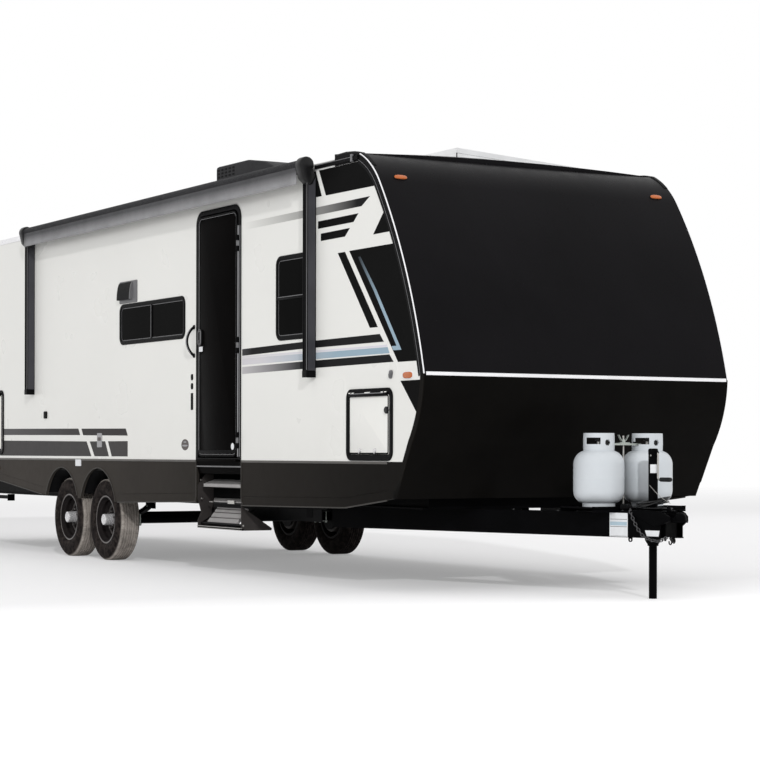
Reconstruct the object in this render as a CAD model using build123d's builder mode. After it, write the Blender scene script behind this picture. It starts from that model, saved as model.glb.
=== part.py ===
"""Tandem-axle travel caravan, built as separate pieces with real joints.

All sizes are in millimetres. The origin is on the ground under the tongue jack,
+X points forward, +Y to the left side and +Z up. "back" is a distance measured
rearwards from the foremost line of the nose.
"""
from build123d import *
import os
from math import atan2, cos, radians, sin, sqrt, tan

os.makedirs("parts", exist_ok=True)

# ---------------------------------------------------------------- driving sizes
nose_to_jack = 757.0
body_length = 9450.0
body_width = 2438.0
belt_z = 853.0            # floor top, wall foot and skirt top
rail_z = 2896.0           # roof edge
roof_crown = 76.0
ceiling_z = 2846.0
wall = 51.0
nose_wall = 45.0
floor_depth = 99.0
door_gap = 8.0            # running gap round every swinging leaf
pin_gap = 0.3             # radial gap of a hinge pin or shaft

half = body_width / 2
nose_x = -nose_to_jack
rear_x = nose_x - body_length
floor_z = belt_z - floor_depth


def at(back):
    """X of a place that lies a distance back from the nose."""
    return nose_x - back


# Nose outline, from the lower front edge up to the roof, as (back, height)
chin = (338.0, 613.0)          # lower front edge
chin_top = (150.0, 965.0)      # end of the straight chin
chin_mid = (60.0, 1130.0)      # on the arc between chin and nose
nose_tip = (0.0, 1413.0)       # foremost line, where the two panels meet
brow_low = (173.0, 1960.0)     # on the long upper arc
brow_top = (555.0, 2676.0)     # end of the long upper arc
crest_mid = (692.0, 2822.0)    # on the tight top arc
crest = (820.0, rail_z)        # roof edge


def spot(pair):
    """A sketch point from a (back, height) pair."""
    return (at(pair[0]), pair[1])


def side_plane(y):
    """Upright plane along the caravan at y: sketch x is X, sketch y is Z."""
    return Plane.XZ.offset(-y)


def cross_plane(x):
    """Upright plane across the caravan at x: sketch x is Y, sketch y is Z."""
    return Plane.YZ.offset(x)


def flat_plane(x, y, z):
    """Level plane with its origin at a point: sketch x is X, sketch y is Y."""
    return Plane(origin=(x, y, z), x_dir=(1, 0, 0), z_dir=(0, 0, 1))


def block(x, y, z, mode=Mode.ADD):
    """A box between two limits on each axis, given as (low, high) pairs."""
    centre = ((x[0] + x[1]) / 2, (y[0] + y[1]) / 2, (z[0] + z[1]) / 2)
    with Locations(centre):
        Box(x[1] - x[0], y[1] - y[0], z[1] - z[0], mode=mode)


def pane(low, high, radius=0.0, mode=Mode.ADD):
    """A rectangle in a sketch between two corners, with rounded corners if asked."""
    centre = ((low[0] + high[0]) / 2, (low[1] + high[1]) / 2)
    with Locations(centre):
        if radius > 0:
            RectangleRounded(high[0] - low[0], high[1] - low[1], radius, mode=mode)
        else:
            Rectangle(high[0] - low[0], high[1] - low[1], mode=mode)


def save(piece, name):
    """Label a finished piece and write its file."""
    piece.label = name
    export_step(piece, f"parts/{name}.step")


# ---------------------------------------------------------------- body outline
with BuildSketch(Plane.XZ) as outline:
    with BuildLine():
        sole = Line((rear_x, chin[1]), spot(chin))
        chin_edge = Line(sole @ 1, spot(chin_top))
        nose_low = ThreePointArc(chin_edge @ 1, spot(chin_mid), spot(nose_tip))
        nose_high = ThreePointArc(nose_low @ 1, spot(brow_low), spot(brow_top))
        nose_crest = ThreePointArc(nose_high @ 1, spot(crest_mid), spot(crest))
        top_edge = Line(nose_crest @ 1, (rear_x, rail_z))
        Line(top_edge @ 1, sole @ 0)
    make_face()

with BuildSketch(Plane.XZ) as inline:
    add(outline.sketch_local)
    offset(amount=-nose_wall, kind=Kind.INTERSECTION)

outer_face = outline.sketch_local
inner_face = inline.sketch_local

# ---------------------------------------------------------------- openings
# Each opening in a side wall: (back of front edge, back of rear edge, low z, high z, corner radius)
entry = (2598.0, 3316.0, belt_z, 2722.0, 85.0)
small_window = (3566.0, 4795.0, 1812.0, 2103.0, 45.0)
front_window = (1546.0, 2000.0, 1724.0, 2281.0, 45.0)
bay_front = (410.0, 971.0, 880.0, 1311.0, 40.0)
bay_rear = (body_length - 1887.0, body_length - 1047.0, 907.0, 1464.0, 40.0)
living_window = (3500.0, 5000.0, 1560.0, 2120.0, 45.0)
bath_window = (6100.0, 6600.0, 1812.0, 2103.0, 45.0)
bunk_window = (7400.0, 8100.0, 1560.0, 2120.0, 45.0)

flange = 22.0             # how far a frame laps over the wall
flange_proud = 8.0        # how far a frame stands out of the wall
jamb = 12.0               # thickness of a frame inside the opening
glass = 5.0
mullion = 26.0

right_windows = (("small", small_window, "upright"), ("front", front_window, "level"))
left_windows = (("front", front_window, "level"), ("living", living_window, "upright"),
                ("bath", bath_window, "none"), ("bunk", bunk_window, "upright"))


def opening(spec, grow=0.0, mode=Mode.ADD):
    """The outline of an opening in a side sketch, grown all round by a margin."""
    front, rear, low, high, radius = spec
    pane((at(rear) - grow, low - grow), (at(front) + grow, high + grow), radius + grow, mode)


# ---------------------------------------------------------------- floor, walls, roof, nose
with BuildPart() as floor_deck:
    with BuildSketch(side_plane(-half + 25.0)):
        add(inner_face)
        pane((rear_x, floor_z), (nose_x, belt_z), mode=Mode.INTERSECT)
    extrude(amount=-(body_width - 2 * 25.0))
save(floor_deck.part, "floor_deck")

with BuildPart() as wall_door_side:
    with BuildSketch(side_plane(-half)):
        add(inner_face)
        pane((rear_x + wall, belt_z), (nose_x, ceiling_z), mode=Mode.INTERSECT)
        pane((at(entry[1]), belt_z - 200.0), (at(entry[0]), entry[3]), entry[4], Mode.SUBTRACT)
        for _, spec, _ in right_windows:
            opening(spec, mode=Mode.SUBTRACT)
        opening(bay_front, mode=Mode.SUBTRACT)
        opening(bay_rear, mode=Mode.SUBTRACT)
    extrude(amount=-wall)
save(wall_door_side.part, "wall_door_side")

with BuildPart() as wall_road_side:
    with BuildSketch(side_plane(half - wall)):
        add(inner_face)
        pane((rear_x + wall, belt_z), (nose_x, ceiling_z), mode=Mode.INTERSECT)
        for _, spec, _ in left_windows:
            opening(spec, mode=Mode.SUBTRACT)
        opening(bay_front, mode=Mode.SUBTRACT)
    extrude(amount=-wall)
save(wall_road_side.part, "wall_road_side")

rear_window = (-420.0, 420.0, 1560.0, 2120.0, 45.0)   # (low y, high y, low z, high z, radius)

with BuildPart() as rear_wall:
    with BuildSketch(cross_plane(rear_x)):
        pane((-half, belt_z), (half, ceiling_z))
        pane((rear_window[0], rear_window[2]), (rear_window[1], rear_window[3]), rear_window[4],
             mode=Mode.SUBTRACT)
    extrude(amount=wall)
save(rear_wall.part, "rear_wall")

fairing_back = 1170.0     # where the front fairing meets the roof
fairing_edge = 34.0       # how far the fairing stands above the roof edge there
fairing_mid = 89.0        # and in the middle
crest_mid_rise = 30.0     # crown of the fairing's front edge


def crowned(edge_z, mid_z):
    """Crowned cross-section of the roof."""
    with BuildSketch() as section:
        with BuildLine():
            top = ThreePointArc((-half, edge_z), (0, mid_z), (half, edge_z))
            Polyline(top @ 1, (half, ceiling_z), (-half, ceiling_z), top @ 0)
        make_face()
    return section.sketch


with BuildPart() as roof:
    with BuildSketch(cross_plane(rear_x)):
        add(crowned(rail_z, rail_z + roof_crown))
    extrude(amount=body_length - fairing_back)
save(roof.part, "roof")

with BuildPart() as roof_fairing:
    with BuildSketch(cross_plane(at(fairing_back))):
        add(crowned(rail_z + fairing_edge, rail_z + fairing_mid))
    with BuildSketch(cross_plane(at(crest[0]))):
        add(crowned(rail_z, rail_z + crest_mid_rise))
    loft(ruled=True)
save(roof_fairing.part, "roof_fairing")


chin_lip = 51.0           # depth of the lower panel's return under the chin


def nose_panel(name, back, low_z, high_z):
    """One of the two curved front panels, across the whole width."""
    with BuildPart() as panel:
        with BuildSketch(side_plane(-half)):
            add(outer_face)
            add(inner_face, mode=Mode.SUBTRACT)
            pane((at(back), low_z), (nose_x, high_z), mode=Mode.INTERSECT)
        extrude(amount=-body_width)
    save(panel.part, name)
    return panel.part


nose_upper = nose_panel("nose_upper", crest[0], nose_tip[1], rail_z)
nose_panel("nose_lower", chin[0] + chin_lip, chin[1], nose_tip[1])

# ---------------------------------------------------------------- skirts
skirt = 25.0
skirt_y = half - skirt
axle_front = 5234.0       # back from the nose
axle_spread = 815.0
axle_z = 342.0
arch_radius = 400.0
arch_shift = 50.0         # arches sit a little behind their wheels
arch_z = 378.0
well_front = 2572.0       # door well in the door-side skirt
well_rear = 3343.0
skirt_front = 389.0

# Lower edge of the skirts from the front to the rear, as (back, height)
skirt_foot = ((skirt_front, 613.0), (1020.0, 545.0), (2530.0, 525.0), (3400.0, 535.0),
              (4880.0, 500.0), (6470.0, 526.0), (7645.0, 645.0), (body_length, 700.0))


def skirt_outline():
    """The skirt's side outline with its two wheel arches."""
    with BuildSketch() as side:
        add(inner_face)
        pane((rear_x, chin[1] + nose_wall), (nose_x, belt_z), mode=Mode.INTERSECT)
        with BuildLine():
            foot = Polyline([spot(point) for point in skirt_foot])
            Polyline(foot @ 1, (rear_x, belt_z), (at(skirt_front), belt_z), foot @ 0)
        make_face()
        for axle in range(2):
            centre = at(axle_front + axle * axle_spread + arch_shift)
            with Locations((centre, arch_z)):
                Circle(arch_radius, mode=Mode.SUBTRACT)
    return side.sketch


skirt_side = skirt_outline()

with BuildPart() as skirts:
    with BuildSketch(side_plane(-half)):
        add(skirt_side)
        pane((at(well_rear), 0), (at(well_front), belt_z), mode=Mode.SUBTRACT)
    extrude(amount=-skirt)
    with BuildSketch(side_plane(skirt_y)):
        add(skirt_side)
    extrude(amount=-skirt)
save(skirts.part, "skirts")

# ---------------------------------------------------------------- window and bay frames


def frame_ring(spec, side, divider="none"):
    """Frame of one side opening: a proud flange, a jamb through the wall and a divider."""
    face = side * half
    front, rear, low, high, radius = spec
    with BuildPart() as ring:
        with BuildSketch(side_plane(face)):
            opening(spec, flange)
            opening(spec, -jamb, Mode.SUBTRACT)
        extrude(amount=-side * flange_proud)
        with BuildSketch(side_plane(face)):
            opening(spec)
            opening(spec, -jamb, Mode.SUBTRACT)
        extrude(amount=side * wall)
        if divider == "upright":
            with BuildSketch(side_plane(face)):
                middle = at((front + rear) / 2)
                pane((middle - mullion / 2, low + jamb / 2), (middle + mullion / 2, high - jamb / 2))
            extrude(amount=-side * flange_proud)
        if divider == "level":
            with BuildSketch(side_plane(face)):
                middle = (low + high) / 2
                pane((at(rear) + jamb / 2, middle - mullion / 2),
                     (at(front) - jamb / 2, middle + mullion / 2))
            extrude(amount=-side * flange_proud)
    return ring.part


side_windows = [(spec, divider, -1) for _, spec, divider in right_windows]
side_windows += [(spec, divider, 1) for _, spec, divider in left_windows]
side_rings = [frame_ring(spec, side, divider) for spec, divider, side in side_windows]


def rear_pane(grow, mode=Mode.ADD):
    """The rear window's outline in a cross sketch, grown all round by a margin."""
    low_y, high_y, low, high, radius = rear_window
    pane((low_y - grow, low - grow), (high_y + grow, high + grow), radius + grow, mode)


with BuildPart() as window_frames:
    for ring in side_rings:
        add(ring)
    with BuildSketch(cross_plane(rear_x)):
        rear_pane(flange)
        rear_pane(-jamb, Mode.SUBTRACT)
    extrude(amount=-flange_proud)
    with BuildSketch(cross_plane(rear_x)):
        rear_pane(0.0)
        rear_pane(-jamb, Mode.SUBTRACT)
    extrude(amount=wall)
save(window_frames.part, "window_frames")

with BuildPart() as window_glass:
    for spec, _, side in side_windows:
        with BuildSketch(side_plane(side * half)):
            opening(spec, -jamb)
        extrude(amount=side * glass)
    with BuildSketch(cross_plane(rear_x)):
        rear_pane(-jamb)
    extrude(amount=glass)
save(window_glass.part, "window_glass")

# ---------------------------------------------------------------- luggage bays
leaf_thick = 30.0
hinge_r = 6.0
hinge_pin_r = 2.0
lug_length = 14.0
hinge_out = 16.0          # hinge axis in front of the wall face
hinge_above = 14.0        # hinge axis above the leaf's top edge
hinge_margin = 40.0       # from the leaf's side edge to the hinge's end


def bay_hinge(spec, side):
    """Centre height and offset of a bay's top hinge: (y, z)."""
    return (side * (half + hinge_out), spec[3] - jamb - door_gap + hinge_above)


def bay_frame(spec, side):
    """Frame of a luggage bay with two hinge lugs and the hinge pin."""
    ring = frame_ring(spec, side)
    y, z = bay_hinge(spec, side)
    low_x = at(spec[1]) + jamb + door_gap + hinge_margin
    high_x = at(spec[0]) - jamb - door_gap - hinge_margin
    flange_face = side * (half + flange_proud / 2)
    with BuildPart() as frame:
        add(ring)
        for x in (low_x, high_x - lug_length):
            with BuildSketch(cross_plane(x)):
                with Locations((y, z)):
                    Circle(hinge_r)
                pane((min(y, flange_face), z - hinge_r), (max(y, flange_face), z + hinge_r))
            extrude(amount=lug_length)
        with BuildSketch(cross_plane(low_x)):
            with Locations((y, z)):
                Circle(hinge_pin_r)
        extrude(amount=high_x - low_x)
    return frame.part


def bay_leaf(name, spec, side):
    """Top-hinged leaf of a luggage bay."""
    y, z = bay_hinge(spec, side)
    low_x = at(spec[1]) + jamb + door_gap + hinge_margin
    high_x = at(spec[0]) - jamb - door_gap - hinge_margin
    outer = side * (half + flange_proud)
    with BuildPart() as leaf:
        with BuildSketch(side_plane(outer)):
            opening(spec, -jamb - door_gap)
        extrude(amount=side * leaf_thick)
        start = low_x + lug_length + 1.0
        reach = high_x - lug_length - 1.0 - start
        with BuildSketch(cross_plane(start)):
            with Locations((y, z)):
                Circle(hinge_r)
            pane((min(outer, y + side * hinge_r), z - hinge_above - 12.0),
                 (max(outer, y + side * hinge_r), z))
        extrude(amount=reach)
        with BuildSketch(cross_plane(start)):
            with Locations((y, z)):
                Circle(hinge_pin_r + pin_gap)
        extrude(amount=reach, mode=Mode.SUBTRACT)
        for x in (low_x + 60.0, high_x - 60.0):
            block((x - 22.0, x + 22.0), sorted((outer, outer + side * 9.0)),
                  (spec[2] + jamb + door_gap + 24.0, spec[2] + jamb + door_gap + 52.0))
    save(leaf.part, name)


bay_places = (("front_right", bay_front, -1), ("front_left", bay_front, 1), ("rear_right", bay_rear, -1))
bay_rings = [bay_frame(spec, side) for _, spec, side in bay_places]
with BuildPart() as bay_frames:
    for bay_ring in bay_rings:
        add(bay_ring)
save(bay_frames.part, "bay_frames")
for place, spec, side in bay_places:
    bay_leaf(f"bay_door_{place}", spec, side)

# ---------------------------------------------------------------- entry door
entry_jamb = 16.0
entry_leaf = 42.0
entry_proud = 12.0
entry_hinge_out = 22.0
entry_hinge_r = 8.0
entry_pin_r = 3.0
hinge_knuckle = 60.0
hinge_heights = (1000.0, 1700.0, 2450.0)
entry_low = entry[2]
entry_high = entry[3]
entry_radius = entry[4]
entry_hinge_x = at(entry[0]) - entry_jamb + 4.0
entry_hinge_y = -(half + entry_hinge_out)
leaf_low_x = at(entry[1]) + entry_jamb + door_gap
leaf_high_x = at(entry[0]) - entry_jamb - door_gap
leaf_low_z = entry_low + entry_jamb + door_gap
leaf_high_z = entry_high - entry_jamb - door_gap
leaf_face = -(half + entry_proud)

sill_zone = 300.0         # the lower corners are square up to here
entry_lap = 20.0


def entry_outline(grow, mode=Mode.ADD):
    """The entry's outline in a side sketch, rounded at the top only, grown by a margin."""
    low_x = at(entry[1]) - grow
    high_x = at(entry[0]) + grow
    pane((low_x, entry_low), (high_x, entry_high + grow), entry_radius + grow, mode)
    pane((low_x, entry_low), (high_x, entry_low + sill_zone), 0.0, mode)


def entry_way():
    """Cut the clear way inside the entry's jambs out of a side sketch."""
    low = (at(entry[1]) + entry_jamb, entry_low + entry_jamb)
    high = (at(entry[0]) - entry_jamb, entry_high - entry_jamb)
    pane(low, high, entry_radius - entry_jamb, Mode.SUBTRACT)
    pane(low, (high[0], entry_low + sill_zone), 0.0, Mode.SUBTRACT)


with BuildPart() as entry_frame:
    with BuildSketch(side_plane(-half - flange_proud)):
        entry_outline(entry_lap)
        entry_way()
    extrude(amount=-flange_proud)
    with BuildSketch(side_plane(-half)):
        entry_outline(0.0)
        entry_way()
    extrude(amount=-wall)
    for z in hinge_heights:
        for foot in (z - hinge_knuckle, z + hinge_knuckle / 3):
            with BuildSketch(Plane.XY.offset(foot)):
                with Locations((entry_hinge_x, entry_hinge_y)):
                    Circle(entry_hinge_r)
                pane((entry_hinge_x, entry_hinge_y), (entry_hinge_x + entry_hinge_r, -half - 1.0))
            extrude(amount=hinge_knuckle * 2 / 3)
        with BuildSketch(Plane.XY.offset(z - hinge_knuckle)):
            with Locations((entry_hinge_x, entry_hinge_y)):
                Circle(entry_pin_r)
        extrude(amount=hinge_knuckle * 2)
save(entry_frame.part, "entry_frame")

latch_z = 1752.0
latch_x = leaf_low_x + 55.0
latch_plate = 12.0
latch_grip = 24.0

with BuildPart() as entry_door:
    with BuildSketch(side_plane(leaf_face)):
        pane((leaf_low_x, leaf_low_z), (leaf_high_x, leaf_high_z), entry_radius - entry_jamb - door_gap)
        pane((leaf_low_x, leaf_low_z), (leaf_high_x, leaf_low_z + 250.0))
    extrude(amount=-entry_leaf)
    for z in hinge_heights:
        foot = z - hinge_knuckle / 3 + 1.0
        tall = hinge_knuckle * 2 / 3 - 2.0
        with BuildSketch(Plane.XY.offset(foot)):
            with Locations((entry_hinge_x, entry_hinge_y)):
                Circle(entry_hinge_r)
            pane((leaf_high_x - 40.0, entry_hinge_y - entry_hinge_r), (entry_hinge_x, leaf_face))
        extrude(amount=tall)
        with BuildSketch(Plane.XY.offset(foot)):
            with Locations((entry_hinge_x, entry_hinge_y)):
                Circle(entry_pin_r + pin_gap)
        extrude(amount=tall, mode=Mode.SUBTRACT)
    plate_face = leaf_face - latch_plate
    block((latch_x - 38.0, latch_x + 38.0), (plate_face, leaf_face), (latch_z - 90.0, latch_z + 90.0))
    grip_y = (plate_face - latch_grip, plate_face)
    block((latch_x - 26.0, latch_x + 26.0), grip_y, (latch_z - 12.0, latch_z + 12.0))
save(entry_door.part, "entry_door")

# ---------------------------------------------------------------- main frame
beam_y = half - 319.0     # centre of each main beam
beam_low = 505.0
beam_flange = 100.0
beam_web = 8.0
beam_plate = 10.0
beam_start = 460.0        # back from the nose
beam_step = 1760.0        # the front of the beams is shallower, over the tongue rails
tongue_top = 540.0
tongue_low = 385.0
beam_inner = beam_y - beam_flange / 2


def beam_profile(low, high):
    """I-section of a main beam, in a cross sketch centred on the beam."""
    with BuildSketch() as section:
        pane((-beam_flange / 2, low), (beam_flange / 2, low + beam_plate))
        pane((-beam_flange / 2, high - beam_plate), (beam_flange / 2, high))
        pane((-beam_web / 2, low), (beam_web / 2, high))
    return section.sketch


# Cross members between the beams, as (back, low z)
member_width = 60.0
member_places = ((beam_start + 40.0, tongue_top), (1500.0, 640.0), (2500.0, 640.0), (3400.0, 640.0),
                 (4500.0, 640.0), (5640.0, 640.0), (6800.0, 640.0), (7900.0, 640.0),
                 (body_length - 150.0, 560.0))

with BuildPart() as main_frame:
    for side in (-1, 1):
        with BuildSketch(Plane(origin=(rear_x, side * beam_y, 0), x_dir=(0, 1, 0), z_dir=(1, 0, 0))):
            add(beam_profile(beam_low, floor_z))
        extrude(amount=body_length - beam_step)
        with BuildSketch(Plane(origin=(at(beam_step), side * beam_y, 0), x_dir=(0, 1, 0), z_dir=(1, 0, 0))):
            add(beam_profile(tongue_top, floor_z))
        extrude(amount=beam_step - beam_start)
        end_plate = (at(beam_step) - beam_plate, at(beam_step))
        block(end_plate, sorted((side * beam_inner, side * (beam_y + beam_flange / 2))), (beam_low, floor_z))
    for back, low in member_places:
        x = at(back)
        member_end = beam_y - beam_web / 2
        span = (x - member_width / 2, x + member_width / 2)
        block(span, (-member_end, member_end), (low, floor_z - beam_plate))
save(main_frame.part, "main_frame")

belly_thick = 5.0
belly_rear = body_length - 180.0
with BuildPart() as belly_sheet:
    span = (at(belly_rear), at(beam_step) - beam_plate)
    block(span, (-beam_inner, beam_inner), (beam_low, beam_low + belly_thick))
save(belly_sheet.part, "belly_sheet")

# ---------------------------------------------------------------- tongue
rail_width = 50.0
tongue_rear_back = 1740.0  # where the tongue rails end under the beams
tongue_rear_y = beam_y - 5.0
tongue_tip_x = 190.0       # where the rails meet the coupler
tongue_tip_y = 62.0
channel = 7.0

rail_lean = atan2(tongue_rear_y - tongue_tip_y, tongue_tip_x - at(tongue_rear_back))


def rail_centre(x):
    """Distance of a tongue rail's centre line from the middle at x."""
    return tongue_tip_y + (tongue_tip_x - x) * tan(rail_lean)


def rail_gap(x):
    """Half the clear width between the tongue rails at x."""
    return rail_centre(x) - rail_width / 2 / cos(rail_lean)


# Each safety chain hangs in an arc below its rail, between two lugs
link_wire = 4.0           # radius of the wire
link_half = 22.0          # half a link's length, measured on its wire's centre line
link_side = 12.0          # half a link's width, measured the same way
link_slack = 1.0
link_count = 5
link_turn = radians(26.0)
link_pitch = 2 * (link_half - link_wire) - link_slack
chain_r = link_pitch / 2 / sin(link_turn / 2)
chain_x = 20.0            # middle of the chain
lug_hole_r = 8.0
lug_ring = 6.0
lug_thick = 8.0
lug_z = tongue_low - lug_hole_r - lug_ring - 1.0
chain_slope = link_turn * (link_count - 1) / 2
lug_reach = lug_hole_r - link_wire + (link_half - link_pitch / 2) - link_slack
lug_u = chain_r * sin(link_turn * link_count / 2) + lug_reach * cos(chain_slope)
chain_z = lug_z + chain_r * cos(link_turn * link_count / 2) - lug_reach * sin(chain_slope)


def chain_plane(side):
    """Upright plane of a chain under its rail: sketch x runs forward, sketch y is Z."""
    along = Vector(cos(rail_lean), -side * sin(rail_lean), 0)
    origin = Vector(chain_x, side * rail_centre(chain_x), 0)
    return Plane(origin=origin, x_dir=along, z_dir=along.cross(Vector(0, 0, 1)))


with BuildPart() as tongue_rails:
    for side in (-1, 1):
        with BuildSketch(chain_plane(side)):
            for u in (-lug_u, lug_u):
                with Locations((u, lug_z)):
                    Circle(lug_hole_r + lug_ring)
                pane((u - lug_hole_r - lug_ring, lug_z), (u + lug_hole_r + lug_ring, tongue_low + 1.0))
                with Locations((u, lug_z)):
                    Circle(lug_hole_r, mode=Mode.SUBTRACT)
        extrude(amount=lug_thick / 2, both=True)
        start = Vector(at(tongue_rear_back), side * tongue_rear_y, tongue_low)
        end = Vector(tongue_tip_x, side * tongue_tip_y, tongue_low)
        run = end - start
        with BuildSketch(Plane(origin=start, x_dir=(0, 0, 1), z_dir=run)):
            pane((0, -rail_width / 2), (tongue_top - tongue_low, rail_width / 2))
            web = rail_width / 2 - channel
            open_side = (-web, rail_width) if side < 0 else (-rail_width, web)
            hollow_top = tongue_top - tongue_low - channel
            pane((channel, open_side[0]), (hollow_top, open_side[1]), mode=Mode.SUBTRACT)
        extrude(amount=run.length)
save(tongue_rails.part, "tongue_rails")

with BuildPart() as chain_link:
    with BuildLine() as link_path:
        straight = link_half - link_side
        near = Line((-straight, -link_side), (straight, -link_side))
        front_bend = ThreePointArc(near @ 1, (link_half, 0), (straight, link_side))
        far = Line(front_bend @ 1, (-straight, link_side))
        ThreePointArc(far @ 1, (-link_half, 0), near @ 0)
    with BuildSketch(Plane(origin=near @ 0, z_dir=(1, 0, 0))):
        Circle(link_wire)
    sweep(path=link_path.wire())

with BuildPart() as safety_chains:
    for side in (-1, 1):
        plane = chain_plane(side)
        for link in range(link_count):
            slope = (link - (link_count - 1) / 2) * link_turn
            reach = chain_r * cos(link_turn / 2)
            centre = plane.from_local_coords((reach * sin(slope), chain_z - reach * cos(slope)))
            along = plane.x_dir * cos(slope) + Vector(0, 0, sin(slope))
            face = along.cross(plane.z_dir) if link % 2 == 0 else plane.z_dir
            with Locations(Plane(origin=centre, x_dir=along, z_dir=face).location):
                add(chain_link.part)
save(safety_chains.part, "safety_chains")


tube_r = 30.0             # outer radius of the tongue jack
deck_gap = 1.0
deck_thick = 10.0
deck_rear_x = -130.0
deck_front_x = 120.0
deck_lap = rail_width     # how far the deck reaches over the rails
cable_r = 6.0
cable_z = tongue_top + deck_thick + cable_r
coil_r = 104.0            # mean radius of the turns, round the jack
coil_turns = 4
coil_slack = 9.0          # how far the turns stray in and out
turn_pitch = 15.0
gland_x = -104.0
gland_long = 26.0
gland_wall = 5.0
plug_r = 22.0
plug_start = (-52.0, -121.0)
plug_end = (-126.0, -150.0)
coil_top = cable_z + (coil_turns - 1) * turn_pitch + cable_r + 3.0

with BuildPart() as tongue_deck:
    with BuildSketch(Plane.XY.offset(tongue_top)):
        with BuildLine():
            rear_half = rail_gap(deck_rear_x) + deck_lap
            front_half = rail_gap(deck_front_x) + deck_lap
            Polyline((deck_rear_x, -rear_half), (deck_front_x, -front_half), (deck_front_x, front_half),
                     (deck_rear_x, rear_half), (deck_rear_x, -rear_half))
        make_face()
        Circle(tube_r + deck_gap, mode=Mode.SUBTRACT)
    extrude(amount=deck_thick)
    with BuildSketch(cross_plane(gland_x - gland_long)):
        with Locations((coil_r, cable_z)):
            Circle(cable_r + gland_wall)
        pane((coil_r - cable_r - gland_wall, tongue_top + 1.0), (coil_r + cable_r + gland_wall, cable_z))
    extrude(amount=gland_long)
save(tongue_deck.part, "tongue_deck")

# ---------------------------------------------------------------- coupler
ball_x = 272.0             # hitch ball centre
ball_z = 510.0
socket_r = 29.6
coupler_low = 485.0
lip = 8.0
lip_out = 10.0
coupler_wall = 9.0
dome_r = socket_r + coupler_wall
shoulder_x = tongue_tip_x + 2.0
shoulder_half = 84.0
shoulder_high = 30.0
shank_rear_x = 60.0
shank_high = 22.0

with BuildPart() as coupler:
    with BuildSketch(Plane.XY.offset(coupler_low)):
        with BuildLine():
            nose_arc = CenterArc((ball_x, 0), dome_r, -90, 180)
            Polyline(nose_arc @ 1, (shoulder_x, shoulder_half), (shoulder_x, -shoulder_half), nose_arc @ 0)
        make_face()
    extrude(amount=shoulder_high)
    with BuildSketch(Plane.XY.offset(coupler_low)):
        with Locations((ball_x, 0)):
            Circle(dome_r + lip_out)
    extrude(amount=lip)
    with BuildSketch(Plane.XY.offset(coupler_low + shoulder_high)):
        pane((shoulder_x, -dome_r + 6.0), (ball_x, dome_r - 6.0))
    extrude(amount=shank_high)
    with Locations((ball_x, 0, ball_z)):
        Sphere(dome_r)
    with BuildSketch(Plane.XY.offset(coupler_low)):
        with BuildLine():
            Polyline((shoulder_x, rail_gap(tongue_tip_x)), (shank_rear_x, rail_gap(tongue_tip_x)),
                     (shank_rear_x, -rail_gap(tongue_tip_x)), (shoulder_x, -rail_gap(tongue_tip_x)),
                     (shoulder_x, rail_gap(tongue_tip_x)))
        make_face()
    extrude(amount=tongue_top - coupler_low)
    with Locations((ball_x, 0, coupler_low - 1.0)):
        Cylinder(socket_r, ball_z - coupler_low + 1.0, align=(Align.CENTER, Align.CENTER, Align.MIN),
                 mode=Mode.SUBTRACT)
    with Locations((ball_x, 0, ball_z)):
        Sphere(socket_r, mode=Mode.SUBTRACT)
    below = (coupler_low - dome_r, coupler_low)
    block((ball_x - dome_r, ball_x + dome_r), (-dome_r, dome_r), below, Mode.SUBTRACT)
    lever_z = coupler_low + shoulder_high + shank_high
    block((150.0, 236.0), (-9.0, 9.0), (lever_z + 4.0, lever_z + 18.0))
    block((196.0, 226.0), (-9.0, 9.0), (lever_z - 2.0, lever_z + 18.0))
    block((150.0, 166.0), (-9.0, 9.0), (lever_z + 4.0, lever_z + 52.0))
save(coupler.part, "coupler")

# ---------------------------------------------------------------- tongue jack
ram_r = 25.4
tube_low = 330.0
tube_high = 905.0
ram_top = 595.0
flange_r = 62.0
jack_travel = 300.0
bore_high = ram_top + jack_travel + 7.0
head_high = 942.0

with BuildPart() as jack_body:
    with Locations((0, 0, tube_low)):
        Cylinder(tube_r, tube_high - tube_low, align=(Align.CENTER, Align.CENTER, Align.MIN))
        Cylinder(ram_r + pin_gap, bore_high - tube_low, align=(Align.CENTER, Align.CENTER, Align.MIN),
                 mode=Mode.SUBTRACT)
    with Locations((0, 0, tongue_top + deck_thick)):
        with BuildSketch(Plane.XY.offset(tongue_top + deck_thick)):
            Circle(flange_r)
            Circle(tube_r - 1.0, mode=Mode.SUBTRACT)
        extrude(amount=12.0)
    with BuildSketch(Plane.XY.offset(tube_high - 2.0)):
        RectangleRounded(74.0, 70.0, 14.0)
    extrude(amount=head_high - tube_high + 2.0)
    with BuildSketch(cross_plane(30.0)):
        with Locations((0, head_high - 22.0)):
            Circle(9.0)
    extrude(amount=24.0)
    block((46.0, 54.0), (-8.0, 8.0), (740.0, head_high - 22.0))
    with BuildSketch(cross_plane(54.0)):
        with Locations((0, 748.0)):
            Circle(9.0)
    extrude(amount=20.0)
    with BuildSketch(cross_plane(74.0)):
        with Locations((0, 748.0)):
            Circle(14.0)
    extrude(amount=108.0)
save(jack_body.part, "jack_body")

with BuildPart() as jack_ram:
    with BuildSketch(Plane.XY):
        Circle(ram_r)
    extrude(amount=ram_top)
save(jack_ram.part, "jack_ram")

# ---------------------------------------------------------------- gas bottles
bottle_r = 162.0
bottle_x = -312.0
bottle_y = 192.0
tray_z = 563.0
bottle_low = tray_z + 32.0
bottle_high = tray_z + 366.0
collar_r = 98.0
collar_top = tray_z + 478.0
collar_wall = 4.0
tray_thick = 4.0
bar_z = tray_z + 404.0    # hold-down bar, through slots in the collars
bar_thick = 8.0
bar_slot = 26.0

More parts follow.
